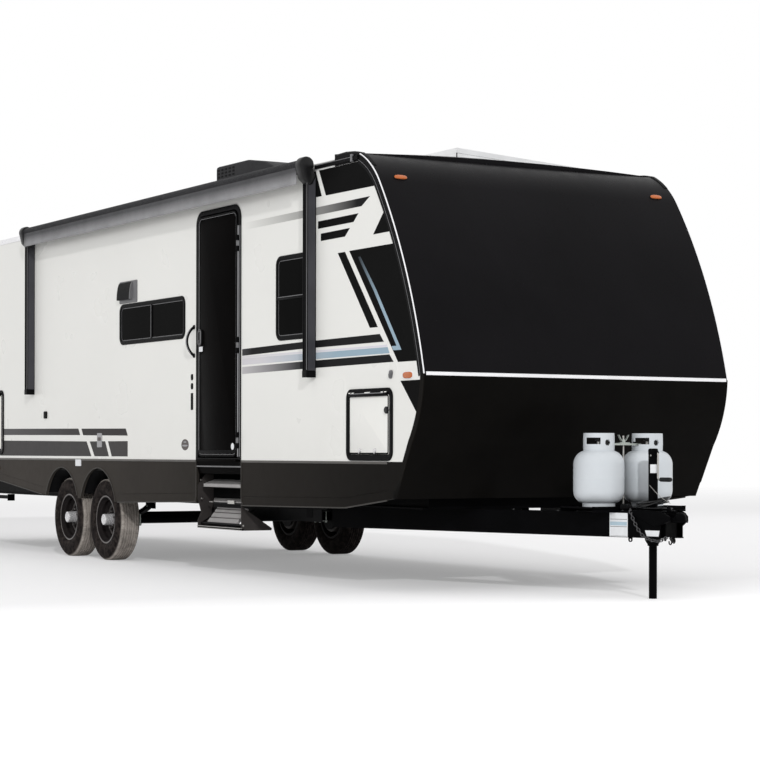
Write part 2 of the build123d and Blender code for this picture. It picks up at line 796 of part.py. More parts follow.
with BuildPart() as bottle_tray:
    tray_x = (bottle_x - 175.0, bottle_x + 175.0)
    block(tray_x, (-bottle_y - 175.0, bottle_y + 175.0), (tray_z - tray_thick, tray_z))
    for x in tray_x:
        edge = sorted((x, x - 4.0 if x > bottle_x else x + 4.0))
        block(edge, (-bottle_y - 175.0, bottle_y + 175.0), (tongue_top, tray_z + 14.0))
    with BuildSketch(Plane.XY.offset(tray_z)):
        with Locations((bottle_x, 0)):
            Circle(7.0)
    extrude(amount=430.0)
    block((bottle_x - 18.0, bottle_x + 18.0), (-130.0, 130.0), (bar_z, bar_z + bar_thick))
    block((bottle_x - 18.0, bottle_x + 18.0), (-36.0, 36.0), (bar_z + bar_thick, bar_z + bar_thick + 14.0))
save(bottle_tray.part, "bottle_tray")

with BuildPart() as gas_bottles:
    for side in (-1, 1):
        with BuildSketch(Plane(origin=(bottle_x, side * bottle_y, 0), x_dir=(1, 0, 0), z_dir=(0, -1, 0))):
            with BuildLine():
                low = Line((0, bottle_low), (95.0, bottle_low))
                low_curve = ThreePointArc(low @ 1, (142.0, bottle_low + 26.0), (bottle_r, bottle_low + 80.0))
                body = Line(low_curve @ 1, (bottle_r, bottle_high - 90.0))
                high_curve = ThreePointArc(body @ 1, (138.0, bottle_high - 26.0), (80.0, bottle_high))
                cap = Line(high_curve @ 1, (0, bottle_high))
                Line(cap @ 1, low @ 0)
            make_face()
        revolve(axis=Axis((bottle_x, side * bottle_y, 0), (0, 0, 1)))
        with BuildSketch(Plane.XY.offset(tray_z)):
            with Locations((bottle_x, side * bottle_y)):
                Circle(104.0)
                Circle(98.0, mode=Mode.SUBTRACT)
        extrude(amount=44.0)
        with BuildSketch(Plane.XY.offset(bottle_high - 12.0)):
            with Locations((bottle_x, side * bottle_y)):
                Circle(collar_r)
                Circle(collar_r - collar_wall, mode=Mode.SUBTRACT)
        extrude(amount=collar_top - bottle_high + 12.0)
        with BuildSketch(Plane.XY.offset(bottle_high - 2.0)):
            with Locations((bottle_x, side * bottle_y)):
                Circle(22.0)
        extrude(amount=70.0)
        block((bottle_x + 40.0, bottle_x + 140.0), (side * bottle_y - 70.0, side * bottle_y - 5.0),
              (collar_top - 78.0, collar_top - 40.0), Mode.SUBTRACT)
        block((bottle_x - 140.0, bottle_x - 40.0), (side * bottle_y - 60.0, side * bottle_y + 60.0),
              (collar_top - 78.0, collar_top + 10.0), Mode.SUBTRACT)
        block((bottle_x - bar_slot, bottle_x + bar_slot), sorted((side * 60.0, side * 136.0)),
              (bar_z - 6.0, bar_z + bar_thick + 6.0), Mode.SUBTRACT)
save(gas_bottles.part, "gas_bottles")

# ---------------------------------------------------------------- axles, springs and hangers
tyre_r = 342.0
tyre_width = 205.0
tyre_y = half - 134.0     # centre plane of each tyre
tube_radius = 38.0
spindle_r = 22.0
hub_inner_y = tyre_y - 85.0
spindle_end_y = tyre_y + 55.0
spring_y = beam_y
spring_width = 45.0
spring_half = 330.0
spring_thick = 30.0
eye_z = 462.0
eye_r = 16.0
seat_z = axle_z + tube_radius
axle_places = (("front", axle_front), ("rear", axle_front + axle_spread))

with BuildPart() as axles:
    for _, back in axle_places:
        with BuildSketch(side_plane(-hub_inner_y + 8.0)):
            with Locations((at(back), axle_z)):
                Circle(tube_radius)
        extrude(amount=-2 * (hub_inner_y - 8.0))
        with BuildSketch(side_plane(-spindle_end_y)):
            with Locations((at(back), axle_z)):
                Circle(spindle_r)
        extrude(amount=-2 * spindle_end_y)
        for side in (-1, 1):
            with BuildSketch(side_plane(side * (hub_inner_y - 8.0))):
                with Locations((at(back), axle_z)):
                    Circle(120.0)
            extrude(amount=side * 6.0)
save(axles.part, "axles")

with BuildPart() as leaf_springs:
    for _, back in axle_places:
        for side in (-1, 1):
            with BuildSketch(side_plane(side * spring_y - spring_width / 2)):
                with BuildLine():
                    under = ThreePointArc((at(back) - spring_half, eye_z - 6.0), (at(back), seat_z),
                                          (at(back) + spring_half, eye_z - 6.0))
                    over = ThreePointArc((at(back) + spring_half, eye_z + 6.0),
                                         (at(back), seat_z + spring_thick),
                                         (at(back) - spring_half, eye_z + 6.0))
                    Line(under @ 1, over @ 0)
                    Line(over @ 1, under @ 0)
                make_face()
                with Locations((at(back) - spring_half, eye_z), (at(back) + spring_half, eye_z)):
                    Circle(eye_r)
            extrude(amount=-spring_width)
save(leaf_springs.part, "leaf_springs")

# ---------------------------------------------------------------- wheels
rim_r = 190.0
rim_half = 76.0
rim_lip_gap = 2.5
rim_lip_thick = 3.5
rim_lip_r = rim_r + 12.0
well_r = rim_r - 20.0
well_half = rim_half - 22.0
bead_half = 62.0
bead_seat = 1.0
tread_half = 76.5
groove_count = 4
groove_pitch = 35.0
groove_depth = 7.0
groove_width = 8.0
disc_y = tyre_y + 6.0     # outer side of the drum, where the disc seats
disc_thick = 6.0
drum_r = 140.0
hub_cap_r = 50.0
hub_cap_end = tyre_y + 105.0
vent_count = 8
stud_circle = 70.0
stud_count = 6

wheel_sides = (("right", -1), ("left", 1))
wheel_places = [(f"{axle}_{name}", back, side) for axle, back in axle_places for name, side in wheel_sides]


def tyre_part(back, side):
    """Tyre with rounded shoulders and four tread grooves, about the axle line."""
    with BuildPart() as tyre:
        with BuildSketch(flat_plane(at(back), side * tyre_y, axle_z)):
            with BuildLine():
                wide = tyre_width / 2
                waist = tyre_r - 78.0
                tread = Line((tyre_r, -tread_half), (tyre_r, tread_half))
                seat = Line((rim_r + bead_seat, bead_half), (rim_r + bead_seat, -bead_half))
                TangentArc((waist, wide), tread @ 1, tangent=(1, 0))
                TangentArc((waist, wide), seat @ 0, tangent=(-1, 0))
                TangentArc((waist, -wide), tread @ 0, tangent=(1, 0))
                TangentArc((waist, -wide), seat @ 1, tangent=(-1, 0))
            make_face()
            with GridLocations(0, groove_pitch, 1, groove_count):
                with Locations((tyre_r, 0)):
                    Rectangle(2 * groove_depth, groove_width, mode=Mode.SUBTRACT)
        revolve(axis=Axis((at(back), side * tyre_y, axle_z), (0, 1, 0)))
    return tyre.part


def wheel_part(back, side):
    """Steel rim with a vented disc, wheel nuts, brake drum and a long hub cap, bored for the spindle."""
    with BuildPart() as wheel:
        with BuildSketch(flat_plane(at(back), side * tyre_y, axle_z)):
            with BuildLine():
                lip_in = rim_half + rim_lip_gap
                lip_out = rim_half + rim_lip_gap + rim_lip_thick
                Polyline((rim_lip_r, -lip_out), (rim_lip_r, -lip_in), (rim_r + 0.5, -lip_in),
                         (rim_r + 0.5, lip_in), (rim_lip_r, lip_in), (rim_lip_r, lip_out),
                         (rim_r - 4.0, lip_out), (well_r, well_half), (well_r, -well_half),
                         (rim_r - 4.0, -lip_out), (rim_lip_r, -lip_out))
            make_face()
        revolve(axis=Axis((at(back), side * tyre_y, axle_z), (0, 1, 0)))
        with BuildSketch(side_plane(side * disc_y)):
            with Locations((at(back), axle_z)):
                Circle(rim_r - 16.0)
                with PolarLocations(132.0, vent_count, 22.5):
                    SlotCenterToCenter(26.0, 34.0, rotation=90.0, mode=Mode.SUBTRACT)
        extrude(amount=side * disc_thick)
        with BuildSketch(side_plane(side * (disc_y + disc_thick - 1.0))):
            with Locations((at(back), axle_z)):
                with PolarLocations(stud_circle, stud_count):
                    RegularPolygon(11.0, 6)
        extrude(amount=side * 24.0)
        with BuildSketch(side_plane(side * hub_inner_y)):
            with Locations((at(back), axle_z)):
                Circle(drum_r)
        extrude(amount=-side * (disc_y - hub_inner_y))
        with BuildSketch(side_plane(side * disc_y)):
            with Locations((at(back), axle_z)):
                Circle(hub_cap_r)
        extrude(amount=-side * (hub_cap_end - disc_y))
        fillet(wheel.faces().sort_by(Axis.Y)[0 if side < 0 else -1].edges(), radius=8.0)
        with BuildSketch(side_plane(side * hub_inner_y)):
            with Locations((at(back), axle_z)):
                Circle(spindle_r + pin_gap)
        extrude(amount=-side * (spindle_end_y - hub_inner_y + 1.0), mode=Mode.SUBTRACT)
    return wheel.part


for place, back, side in wheel_places:
    save(tyre_part(back, side), f"tyre_{place}")
    save(wheel_part(back, side), f"wheel_{place}")

# ---------------------------------------------------------------- entry steps
step_rear_x = at(well_rear) + 12.0
step_front_x = at(well_front) - 12.0
step_side = 6.0
step_face_y = -half + 6.0
step_inner_y = -half + 259.0
hanger_y = -half + 139.0  # inner edge of the plates that hang the steps from the floor
step_low_z = 335.0
step_high_z = 505.0
lip_high = 18.0
top_tread_z = 668.0
tread_thick = 22.0
tread_front_y = -half + 12.0
rung_z = 541.0
fold_pivot_y = -half + 34.0
fold_pivot_z = 372.0
fold_length = 150.0
fold_lean = 38.0          # stowed lean of the fold-down tread, inwards from upright
fold_thick = 20.0
fold_pin_r = 6.0
fold_gap = 8.0

with BuildPart() as step_frame:
    for x in (step_rear_x, step_front_x - step_side):
        with BuildSketch(cross_plane(x)):
            with BuildLine():
                Polyline((step_face_y, step_low_z), (step_inner_y, step_low_z),
                         (step_inner_y + 12.0, step_low_z + 20.0),
                         (hanger_y, step_high_z), (hanger_y, floor_z), (hanger_y - 70.0, floor_z),
                         (step_face_y, step_high_z), (step_face_y, step_low_z))
            make_face()
        extrude(amount=step_side)
    inside = (step_rear_x + step_side, step_front_x - step_side)
    block(inside, (step_face_y, step_inner_y), (step_low_z, step_low_z + 12.0))
    block(inside, (step_face_y, step_face_y + 20.0), (step_low_z, step_low_z + lip_high))
    block(inside, (tread_front_y + 40.0, step_inner_y), (top_tread_z - tread_thick, top_tread_z))
    block(inside, (tread_front_y, tread_front_y + 40.0), (top_tread_z - tread_thick - 6.0, top_tread_z))
    block(inside, (hanger_y - 20.0, hanger_y - 2.0), (rung_z - 14.0, rung_z + 10.0))
    for x in (step_rear_x, step_front_x - step_side):
        block((x, x + step_side), (tread_front_y, step_inner_y), (top_tread_z - tread_thick, floor_z))
    with BuildSketch(cross_plane(inside[0])):
        with Locations((fold_pivot_y, fold_pivot_z)):
            Circle(fold_pin_r)
    extrude(amount=inside[1] - inside[0])
save(step_frame.part, "step_frame")

with BuildPart() as fold_step:
    fold_x = inside[0] + fold_gap
    fold_run = inside[1] - inside[0] - 2 * fold_gap
    lean = radians(fold_lean)
    along = Vector(0, sin(lean), cos(lean))
    with BuildSketch(Plane(origin=(fold_x, fold_pivot_y, fold_pivot_z), x_dir=along, z_dir=(1, 0, 0))):
        pane((0, -fold_thick / 2), (fold_length, fold_thick / 2))
        Circle(fold_pin_r + 5.0)
    extrude(amount=fold_run)
    with BuildSketch(cross_plane(fold_x)):
        with Locations((fold_pivot_y, fold_pivot_z)):
            Circle(fold_pin_r + pin_gap)
    extrude(amount=fold_run, mode=Mode.SUBTRACT)
save(fold_step.part, "fold_step")

# ---------------------------------------------------------------- corner stabilisers
leg_pivot_z = 470.0
leg_length = 500.0
leg_width = 46.0
leg_height = 32.0
leg_pad = 70.0
leg_pin_r = 8.0
bracket_plate = 8.0
bracket_gap = 6.0
bracket_half = 45.0
hanger_plate = 8.0
hanger_gap = 0.5
# Spring hangers as (back, width): one at each end and a wider one between the axles
hanger_places = ((axle_front - spring_half, 66.0), (axle_front + axle_spread / 2, 146.0),
                 (axle_front + axle_spread + spring_half, 66.0))
stabiliser_places = (("front_right", 2040.0, -1, -1), ("front_left", 2040.0, 1, -1),
                     ("rear_right", body_length - 750.0, -1, 1), ("rear_left", body_length - 750.0, 1, 1))

with BuildPart() as beam_brackets:
    for back, width in hanger_places:
        for side in (-1, 1):
            for face in (-1, 1):
                plate_y = side * spring_y + face * (spring_width / 2 + hanger_plate / 2 + hanger_gap)
                block((at(back) - width / 2, at(back) + width / 2),
                      (plate_y - hanger_plate / 2, plate_y + hanger_plate / 2), (eye_z - 24.0, beam_low))
    for _, back, side, _ in stabiliser_places:
        inner = leg_width / 2 + bracket_gap
        outer = inner + bracket_plate
        for face in (-1, 1):
            block((at(back) - bracket_half, at(back) + bracket_half),
                  sorted((side * beam_y + face * inner, side * beam_y + face * outer)),
                  (leg_pivot_z - 26.0, beam_low))
        block((at(back) - bracket_half, at(back) + bracket_half),
              (side * beam_y - outer, side * beam_y + outer), (beam_low - 6.0, beam_low))
        with BuildSketch(side_plane(side * beam_y - inner - 1.0)):
            with Locations((at(back), leg_pivot_z)):
                Circle(leg_pin_r)
        extrude(amount=-2 * (inner + 1.0))
save(beam_brackets.part, "beam_brackets")


def stabiliser_leg(back, side, reach):
    """Drop leg lying along the beam, with a pad at its free end; reach is +1 forward, -1 rearward."""
    with BuildPart() as leg:
        low_y = side * beam_y - leg_width / 2
        tip = at(back) + reach * leg_length
        depth = (leg_pivot_z - leg_height / 2, leg_pivot_z + leg_height / 2)
        block(sorted((at(back), tip)), (low_y, low_y + leg_width), depth)
        with BuildSketch(side_plane(low_y)):
            with Locations((at(back), leg_pivot_z)):
                Circle(leg_height / 2)
        extrude(amount=-leg_width)
        block(sorted((tip, tip - reach * 12.0)), (side * beam_y - leg_pad / 2, side * beam_y + leg_pad / 2),
              (leg_pivot_z - 34.0, leg_pivot_z + 30.0))
        with BuildSketch(side_plane(low_y)):
            with Locations((at(back), leg_pivot_z)):
                Circle(leg_pin_r + pin_gap)
        extrude(amount=-leg_width, mode=Mode.SUBTRACT)
    return leg.part


for place, back, side, reach in stabiliser_places:
    save(stabiliser_leg(back, side, reach), f"stabiliser_{place}")

# ---------------------------------------------------------------- awning
roller_r = 42.0
roller_y = -half - 74.0
roller_z = 2888.0
arm_width = 66.0
arm_proud = 72.0
arm_low = 1428.0
arm_high = 2800.0
arm_backs = (1431.0, 6754.0)   # front edge of each arm
head_r = 54.0
head_low = 2744.0
head_long = 84.0

roller_start = at(arm_backs[1]) - arm_width / 2 + head_long / 2
roller_end = at(arm_backs[0]) - arm_width / 2 - head_long / 2

with BuildPart() as awning_frame:
    for back in arm_backs:
        x = at(back)
        block((x - arm_width, x), (-half - arm_proud, -half), (arm_low, arm_high))
        with BuildSketch(cross_plane(x - arm_width / 2 - head_long / 2)):
            with Locations((roller_y, roller_z)):
                Circle(head_r)
            with BuildLine():
                Polyline((roller_y - head_r, roller_z), (-half - arm_proud, head_low), (-half, head_low),
                         (-half, roller_z), (roller_y - head_r, roller_z))
            make_face()
        extrude(amount=head_long)
    block((roller_start, roller_end), (-half - 12.0, -half), (rail_z - 44.0, rail_z))
    block((roller_start, roller_end), (-half - 26.0, -half - 10.0), (rail_z - 16.0, rail_z - 8.0))
save(awning_frame.part, "awning_frame")

with BuildPart() as awning_roller:
    with BuildSketch(cross_plane(roller_start)):
        with Locations((roller_y, roller_z)):
            Circle(roller_r)
    extrude(amount=roller_end - roller_start)
save(awning_roller.part, "awning_roller")

# ---------------------------------------------------------------- roof equipment
roof_bow = (half ** 2 + roof_crown ** 2) / (2 * roof_crown)


def roof_height(y):
    """Height of the roof surface at y."""
    return rail_z + roof_crown - roof_bow + sqrt(roof_bow ** 2 - y ** 2)


cooler_back = (3600.0, 4786.0)
cooler_half = 350.0
cooler_top = 3330.0
cooler_front_top = cooler_top - 165.0

with BuildPart() as air_conditioner:
    with BuildSketch(side_plane(-cooler_half)):
        with BuildLine():
            front_x = at(cooler_back[0])
            tail_x = at(cooler_back[1])
            foot_z = roof_height(cooler_half) - 4.0
            Polyline((tail_x, foot_z), (tail_x, cooler_top - 60.0), (tail_x + 60.0, cooler_top),
                     (front_x - 620.0, cooler_top - 10.0), (front_x - 20.0, cooler_front_top),
                     (front_x, cooler_front_top - 60.0), (front_x, foot_z), (tail_x, foot_z))
        make_face()
    extrude(amount=-2 * cooler_half)
    fillet(air_conditioner.edges().filter_by(Axis.Z), radius=60.0)
    add(roof.part, mode=Mode.SUBTRACT)
save(air_conditioner.part, "air_conditioner")

vent_half = 180.0
vent_rise = 46.0
vent_top = rail_z + roof_crown + vent_rise
vent_backs = (("front", 2900.0), ("rear", 7300.0))
lid_thick = 24.0
lid_over = 14.0
lid_gap = 6.0
lid_hinge_r = 6.0
lid_pin_r = 2.5

with BuildPart() as roof_vents:
    for _, back in vent_backs:
        base_z = roof_height(vent_half) - 4.0
        block((at(back) - vent_half, at(back) + vent_half), (-vent_half, vent_half), (base_z, vent_top))
        curb = (at(back) - vent_half - 60.0, at(back) + vent_half + 30.0)
        block(curb, (-vent_half - 30.0, vent_half + 30.0), (base_z, rail_z + roof_crown + 6.0))
        hinge_x = at(back) - vent_half - lid_over - 14.0
        hinge_z = vent_top + lid_gap
        for y in (-130.0, 100.0):
            block((hinge_x - 6.0, hinge_x + 6.0), (y, y + 30.0), (base_z, hinge_z))
            with BuildSketch(side_plane(y)):
                with Locations((hinge_x, hinge_z)):
                    Circle(lid_hinge_r)
            extrude(amount=-30.0)
        with BuildSketch(side_plane(-130.0)):
            with Locations((hinge_x, hinge_z)):
                Circle(lid_pin_r)
        extrude(amount=-260.0)
        hole = vent_half - 20.0
        shaft = (at(back) - hole, at(back) + hole)
        block(shaft, (-hole, hole), (base_z - 40.0, vent_top + 1.0), Mode.SUBTRACT)
    add(roof.part, mode=Mode.SUBTRACT)
save(roof_vents.part, "roof_vents")

for place, back in vent_backs:
    with BuildPart() as vent_lid:
        lid_low = vent_top + lid_gap
        reach = vent_half + lid_over
        block((at(back) - reach, at(back) + reach), (-reach, reach), (lid_low, lid_low + lid_thick))
        hinge_x = at(back) - vent_half - lid_over - 14.0
        block((hinge_x, at(back) - vent_half), (-96.0, 96.0), (lid_low, lid_low + 10.0))
        with BuildSketch(side_plane(-96.0)):
            with Locations((hinge_x, lid_low)):
                Circle(lid_hinge_r)
        extrude(amount=-192.0)
        with BuildSketch(side_plane(-96.0)):
            with Locations((hinge_x, lid_low)):
                Circle(lid_pin_r + pin_gap)
        extrude(amount=-192.0, mode=Mode.SUBTRACT)
    save(vent_lid.part, f"vent_lid_{place}")

panel_front = 1200.0
panel_long = 670.0
panel_low_y = -222.0
panel_high_y = 890.0
panel_low_z = 3050.0
panel_high_z = 2976.0
panel_thick = 34.0

with BuildPart() as solar_panel:
    with BuildSketch(cross_plane(at(panel_front + panel_long))):
        with BuildLine():
            Polyline((panel_low_y, panel_low_z), (panel_high_y, panel_high_z),
                     (panel_high_y, panel_high_z - panel_thick), (panel_low_y, panel_low_z - panel_thick),
                     (panel_low_y, panel_low_z))
        make_face()
    extrude(amount=panel_long)
    for back in (panel_front + 60.0, panel_front + panel_long - 100.0):
        for y in (panel_low_y + 40.0, 360.0, panel_high_y - 60.0):
            foot_z = roof_height(y + 20.0) - 6.0
            fall = (panel_low_z - panel_high_z) * (y - panel_low_y) / (panel_high_y - panel_low_y)
            block((at(back) - 20.0, at(back) + 20.0), (y - 20.0, y + 20.0), (foot_z, foot_z + 14.0))
            post_top = panel_low_z - panel_thick - fall
            block((at(back) - 20.0, at(back) + 20.0), (y - 4.0, y + 4.0), (foot_z, post_top))
    add(roof.part, mode=Mode.SUBTRACT)
    add(roof_fairing.part, mode=Mode.SUBTRACT)
save(solar_panel.part, "solar_panel")

# ---------------------------------------------------------------- lamps, handle, vents
lamp_long = 104.0
lamp_tall = 36.0
lamp_proud = 16.0
crest_centre = (1052.0, 2347.0)
crest_radius = 596.0
lamp_z = 2718.0
tail_y = half - 139.0
tail_z = 1010.0
tail_proud = 34.0
lamp_tilt = atan2(lamp_z - crest_centre[1], sqrt(crest_radius ** 2 - (lamp_z - crest_centre[1]) ** 2))

with BuildPart() as lamps:
    for y in (169.0 - half, half - 169.0):
        lamp_x = at(crest_centre[0] - crest_radius * cos(lamp_tilt))
        facing = (cos(lamp_tilt), 0, sin(lamp_tilt))
        with BuildSketch(Plane(origin=(lamp_x, y, lamp_z), x_dir=(0, 1, 0), z_dir=facing)):
            RectangleRounded(lamp_long, lamp_tall, 12.0)
        extrude(amount=lamp_proud)
    for side in (-1, 1):
        for back, z in ((215.0, 1385.0), (body_length - 1770.0, 758.0)):
            with BuildSketch(side_plane(side * half)):
                with Locations((at(back), z)):
                    RectangleRounded(70.0, 46.0, 10.0)
            extrude(amount=-side * lamp_proud)
    for y in (-150.0, 0.0, 150.0, -tail_y, tail_y):
        with BuildSketch(cross_plane(rear_x)):
            with Locations((y, 2780.0)):
                RectangleRounded(lamp_long, lamp_tall, 12.0)
        extrude(amount=-lamp_proud)
    add(nose_upper, mode=Mode.SUBTRACT)
    for side in (-1, 1):
        with BuildSketch(cross_plane(rear_x)):
            with Locations((side * tail_y, tail_z)):
                RectangleRounded(150.0, 230.0, 20.0)
        extrude(amount=-tail_proud)
save(lamps.part, "lamps")

handle_x = at(3385.0)
handle_low = 1641.0
handle_high = 1879.0
handle_r = 11.0
handle_proud = 62.0
with BuildPart() as grab_handle:
    with BuildLine() as handle_path:
        grip_y = -half - handle_proud
        FilletPolyline((handle_x, -half - 8.0, handle_low), (handle_x, grip_y, handle_low + 30.0),
                       (handle_x, grip_y, handle_high - 30.0), (handle_x, -half - 8.0, handle_high),
                       radius=28.0)
    with BuildSketch(Plane(origin=handle_path.line @ 0, z_dir=handle_path.line % 0)):
        Circle(handle_r)
    sweep(path=handle_path.line)
    for z in (handle_low, handle_high):
        with BuildSketch(side_plane(-half)):
            with Locations((handle_x, z)):
                Circle(26.0)
        extrude(amount=10.0)
save(grab_handle.part, "grab_handle")

with BuildPart() as rear_bumper:
    block((rear_x - 130.0, rear_x - 30.0), (89.0 - half, half - 89.0), (540.0, 640.0))
    for side in (-1, 1):
        block((rear_x - 30.0, rear_x), (side * beam_y - 50.0, side * beam_y + 50.0), (540.0, 640.0))
save(rear_bumper.part, "rear_bumper")

# ---------------------------------------------------------------- inner partitions
board = 12.0
luggage_rear = 1012.0      # back of the pass-through luggage space
luggage_top = 1345.0
locker_front = bay_rear[0] - 43.0
locker_rear = bay_rear[1] + 43.0
locker_depth = 560.0
locker_top = 1510.0
inner_half = half - wall

with BuildPart() as inner_boards:
    with BuildSketch(side_plane(-inner_half)):
        pane((at(luggage_rear), belt_z), (at(luggage_rear) + board, luggage_top))
        pane((at(luggage_rear), luggage_top), (nose_x, luggage_top + board))
        add(inner_face, mode=Mode.INTERSECT)
    extrude(amount=-2 * inner_half)
    depth = (-inner_half, -inner_half + locker_depth)
    block((at(locker_rear), at(locker_front)), depth, (belt_z, locker_top))
    block((at(locker_rear) + board, at(locker_front) - board), (depth[0], depth[1] - board),
          (belt_z, locker_top - board), Mode.SUBTRACT)
save(inner_boards.part, "inner_boards")

# ---------------------------------------------------------------- service covers
# Wall covers as (back of front edge, back of rear edge, low z, high z, side)
cover_proud = 14.0
wall_covers = ((4462.0, 4818.0, 2162.0, 2300.0, -1), (6440.0, 6506.0, 1208.0, 1272.0, -1),
               (5320.0, 5720.0, 960.0, 1360.0, 1), (2700.0, 3060.0, 900.0, 1120.0, 1),
               (body_length - 850.0, body_length - 690.0, 980.0, 1140.0, 1))

with BuildPart() as service_covers:
    for front, rear, low, high, side in wall_covers:
        with BuildSketch(side_plane(side * half)):
            pane((at(rear), low), (at(front), high), 14.0)
        extrude(amount=-side * cover_proud)
    with BuildSketch(cross_plane(rear_x)):
        with Locations((-700.0, 960.0)):
            RectangleRounded(310.0, 160.0, 8.0)
    extrude(amount=-6.0)
save(service_covers.part, "service_covers")

# ---------------------------------------------------------------- tow cable
cable_end_x = -sqrt((coil_r + coil_slack + cable_r) ** 2 - (coil_r - cable_r) ** 2) + 2.0
with BuildPart() as tow_cable:
    with BuildSketch(cross_plane(gland_x)):
        with Locations((coil_r, cable_z)):
            Circle(cable_r)
    extrude(amount=cable_end_x - gland_x)
save(tow_cable.part, "tow_cable")

with BuildPart() as tow_coil:
    with BuildSketch(Plane.XY.offset(tongue_top + deck_thick)):
        Circle(coil_r + coil_slack + cable_r)
        Circle(coil_r - coil_slack - cable_r, mode=Mode.SUBTRACT)
    extrude(amount=coil_top - tongue_top - deck_thick)
save(tow_coil.part, "tow_coil")

plug_z = tongue_top + deck_thick + plug_r
with BuildPart() as tow_plug:
    start = Vector(plug_start[0], plug_start[1], plug_z)
    end = Vector(plug_end[0], plug_end[1], plug_z)
    with BuildSketch(Plane(origin=start, z_dir=end - start)):
        Circle(plug_r)
    extrude(amount=(end - start).length)
save(tow_plug.part, "tow_plug")
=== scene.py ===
"""Looks of the travel caravan: finishes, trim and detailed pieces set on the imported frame.

The file is laid out as a Blender add-on. Lengths are in metres, with +X forward, +Y left and +Z up,
and the origin on the ground under the tongue jack.
"""
import bmesh
import bpy
import numpy as np
from math import atan2, cos, hypot, pi, radians, sin, sqrt
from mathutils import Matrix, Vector


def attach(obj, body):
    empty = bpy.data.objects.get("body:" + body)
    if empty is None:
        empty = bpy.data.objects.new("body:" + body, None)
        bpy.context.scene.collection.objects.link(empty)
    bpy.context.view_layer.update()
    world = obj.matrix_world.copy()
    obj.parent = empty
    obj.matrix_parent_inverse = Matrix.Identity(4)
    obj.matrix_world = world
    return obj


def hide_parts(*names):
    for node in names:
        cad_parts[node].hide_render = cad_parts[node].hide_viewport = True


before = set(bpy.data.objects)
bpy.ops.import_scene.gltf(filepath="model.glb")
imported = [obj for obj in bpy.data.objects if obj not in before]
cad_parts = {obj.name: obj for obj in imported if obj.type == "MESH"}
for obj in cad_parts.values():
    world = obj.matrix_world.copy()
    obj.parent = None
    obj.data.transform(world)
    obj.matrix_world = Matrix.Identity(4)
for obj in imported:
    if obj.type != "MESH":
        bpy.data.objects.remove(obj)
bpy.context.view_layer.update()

bl_info = {
    "name": "Travel caravan looks",
    "version": (1, 0, 0),
    "blender": (4, 5, 0),
    "location": "View3D > Sidebar > Caravan",
    "description": "Dresses the packed travel caravan with finishes, trim, wheels, bottles and cable",
    "category": "Object",
}

HALF = 1.219
NOSE = -0.757
REAR = -10.207
BELT_Z = 0.853
SEAM_Z = 1.413
RAIL_Z = 2.896


def at(back):
    """X of a place that lies a distance back from the nose."""
    return NOSE - back


# Ends of the well that the steps stand in, below the entry door
WELL_REAR, WELL_FRONT = at(3.343), at(2.572)


# ---- shapes
def mm(*rows):
    """Rows of millimetres, as an array in metres."""
    return np.array(rows, float) / 1000


def spread(*parts):
    """Columns of numbers side by side, as points; a single number is repeated."""
    return np.stack(np.broadcast_arrays(*parts), -1)


def polar(radius, turn):
    """Flat points from radii and angles: radius times (cos turn, sin turn)."""
    return spread(radius * np.cos(turn), radius * np.sin(turn))


def around(steps):
    """Even angles all the way round."""
    return np.linspace(0, 2 * pi, steps, endpoint=False)


class Patch:
    """Vertices and faces gathered for one piece."""

    def __init__(self):
        self.verts = []
        self.faces = []
        self.count = 0

    def add(self, verts, faces):
        """Take in a block of points and the faces between them."""
        verts = np.asarray(verts, float).reshape(-1, 3)
        self.verts.append(verts)
        for face in faces:
            if isinstance(face, np.ndarray):
                self.faces += (face + self.count).tolist()
            else:
                self.faces.append([corner + self.count for corner in face])
        self.count += len(verts)


def patches(count):
    """Several empty patches."""
    return [Patch() for _ in range(count)]


def cells(rows, cols, close_rows=False, close_cols=False):
    """Quads between neighbouring points of a grid; a closed direction joins its last row to its first."""
    down = np.arange(rows if close_rows else rows - 1)[:, None]
    over = np.arange(cols if close_cols else cols - 1)[None, :]
    low, high = down * cols, (down + 1) % rows * cols
    near, far = over, (over + 1) % cols
    return np.stack([low + near, low + far, high + far, high + near], -1).reshape(-1, 4)


def sheet(patch, points, close_rows=False, close_cols=False, cap=False):
    """A grid of points as quads, with its first and last rows closed by one face each if asked."""
    points = np.asarray(points, float)
    rows, cols = points.shape[:2]
    faces = [cells(rows, cols, close_rows, close_cols)]
    if cap:
        faces += [list(range(cols)), list(range((rows - 1) * cols, rows * cols))]
    patch.add(points, faces)


def prism(patch, rows):
    """Rows of points joined into a solid bar that is closed at both ends."""
    sheet(patch, rows, close_cols=True, cap=True)


def layered(levels, plane):
    """Rows of points from (outline, depth) pairs: a side outline is (x, z), a cross one (y, z), a flat one (x, y)."""
    *across, deep = {"side": (0, 2, 1), "cross": (1, 2, 0), "flat": (0, 1, 2)}[plane]
    rows = np.zeros((len(levels), len(levels[0][0]), 3))
    for row, (outline, depth) in zip(rows, levels):
        row[:, across], row[:, deep] = outline, depth
    return rows


def stack(patch, levels, plane="side"):
    """Outlines with the same number of points, joined in order of depth and closed at both ends."""
    prism(patch, layered(levels, plane))


def slab(patch, outline, low, high, plane="side"):
    """A plate with a plain outline between two depths."""
    stack(patch, [(outline, low), (outline, high)], plane)


def oblong(low, high, radius, steps=7):
    """Rounded rectangle: four quarter circles about the corners' centres, joined by straight edges."""
    (x0, z0), (x1, z1) = low, high
    turn = np.linspace(0, pi / 2, steps)
    corners = ((x1 - radius, z1 - radius, 0), (x0 + radius, z1 - radius, 1),
               (x0 + radius, z0 + radius, 2), (x1 - radius, z0 + radius, 3))
    return np.concatenate([(x, z) + polar(radius, turn + k * pi / 2) for x, z, k in corners])


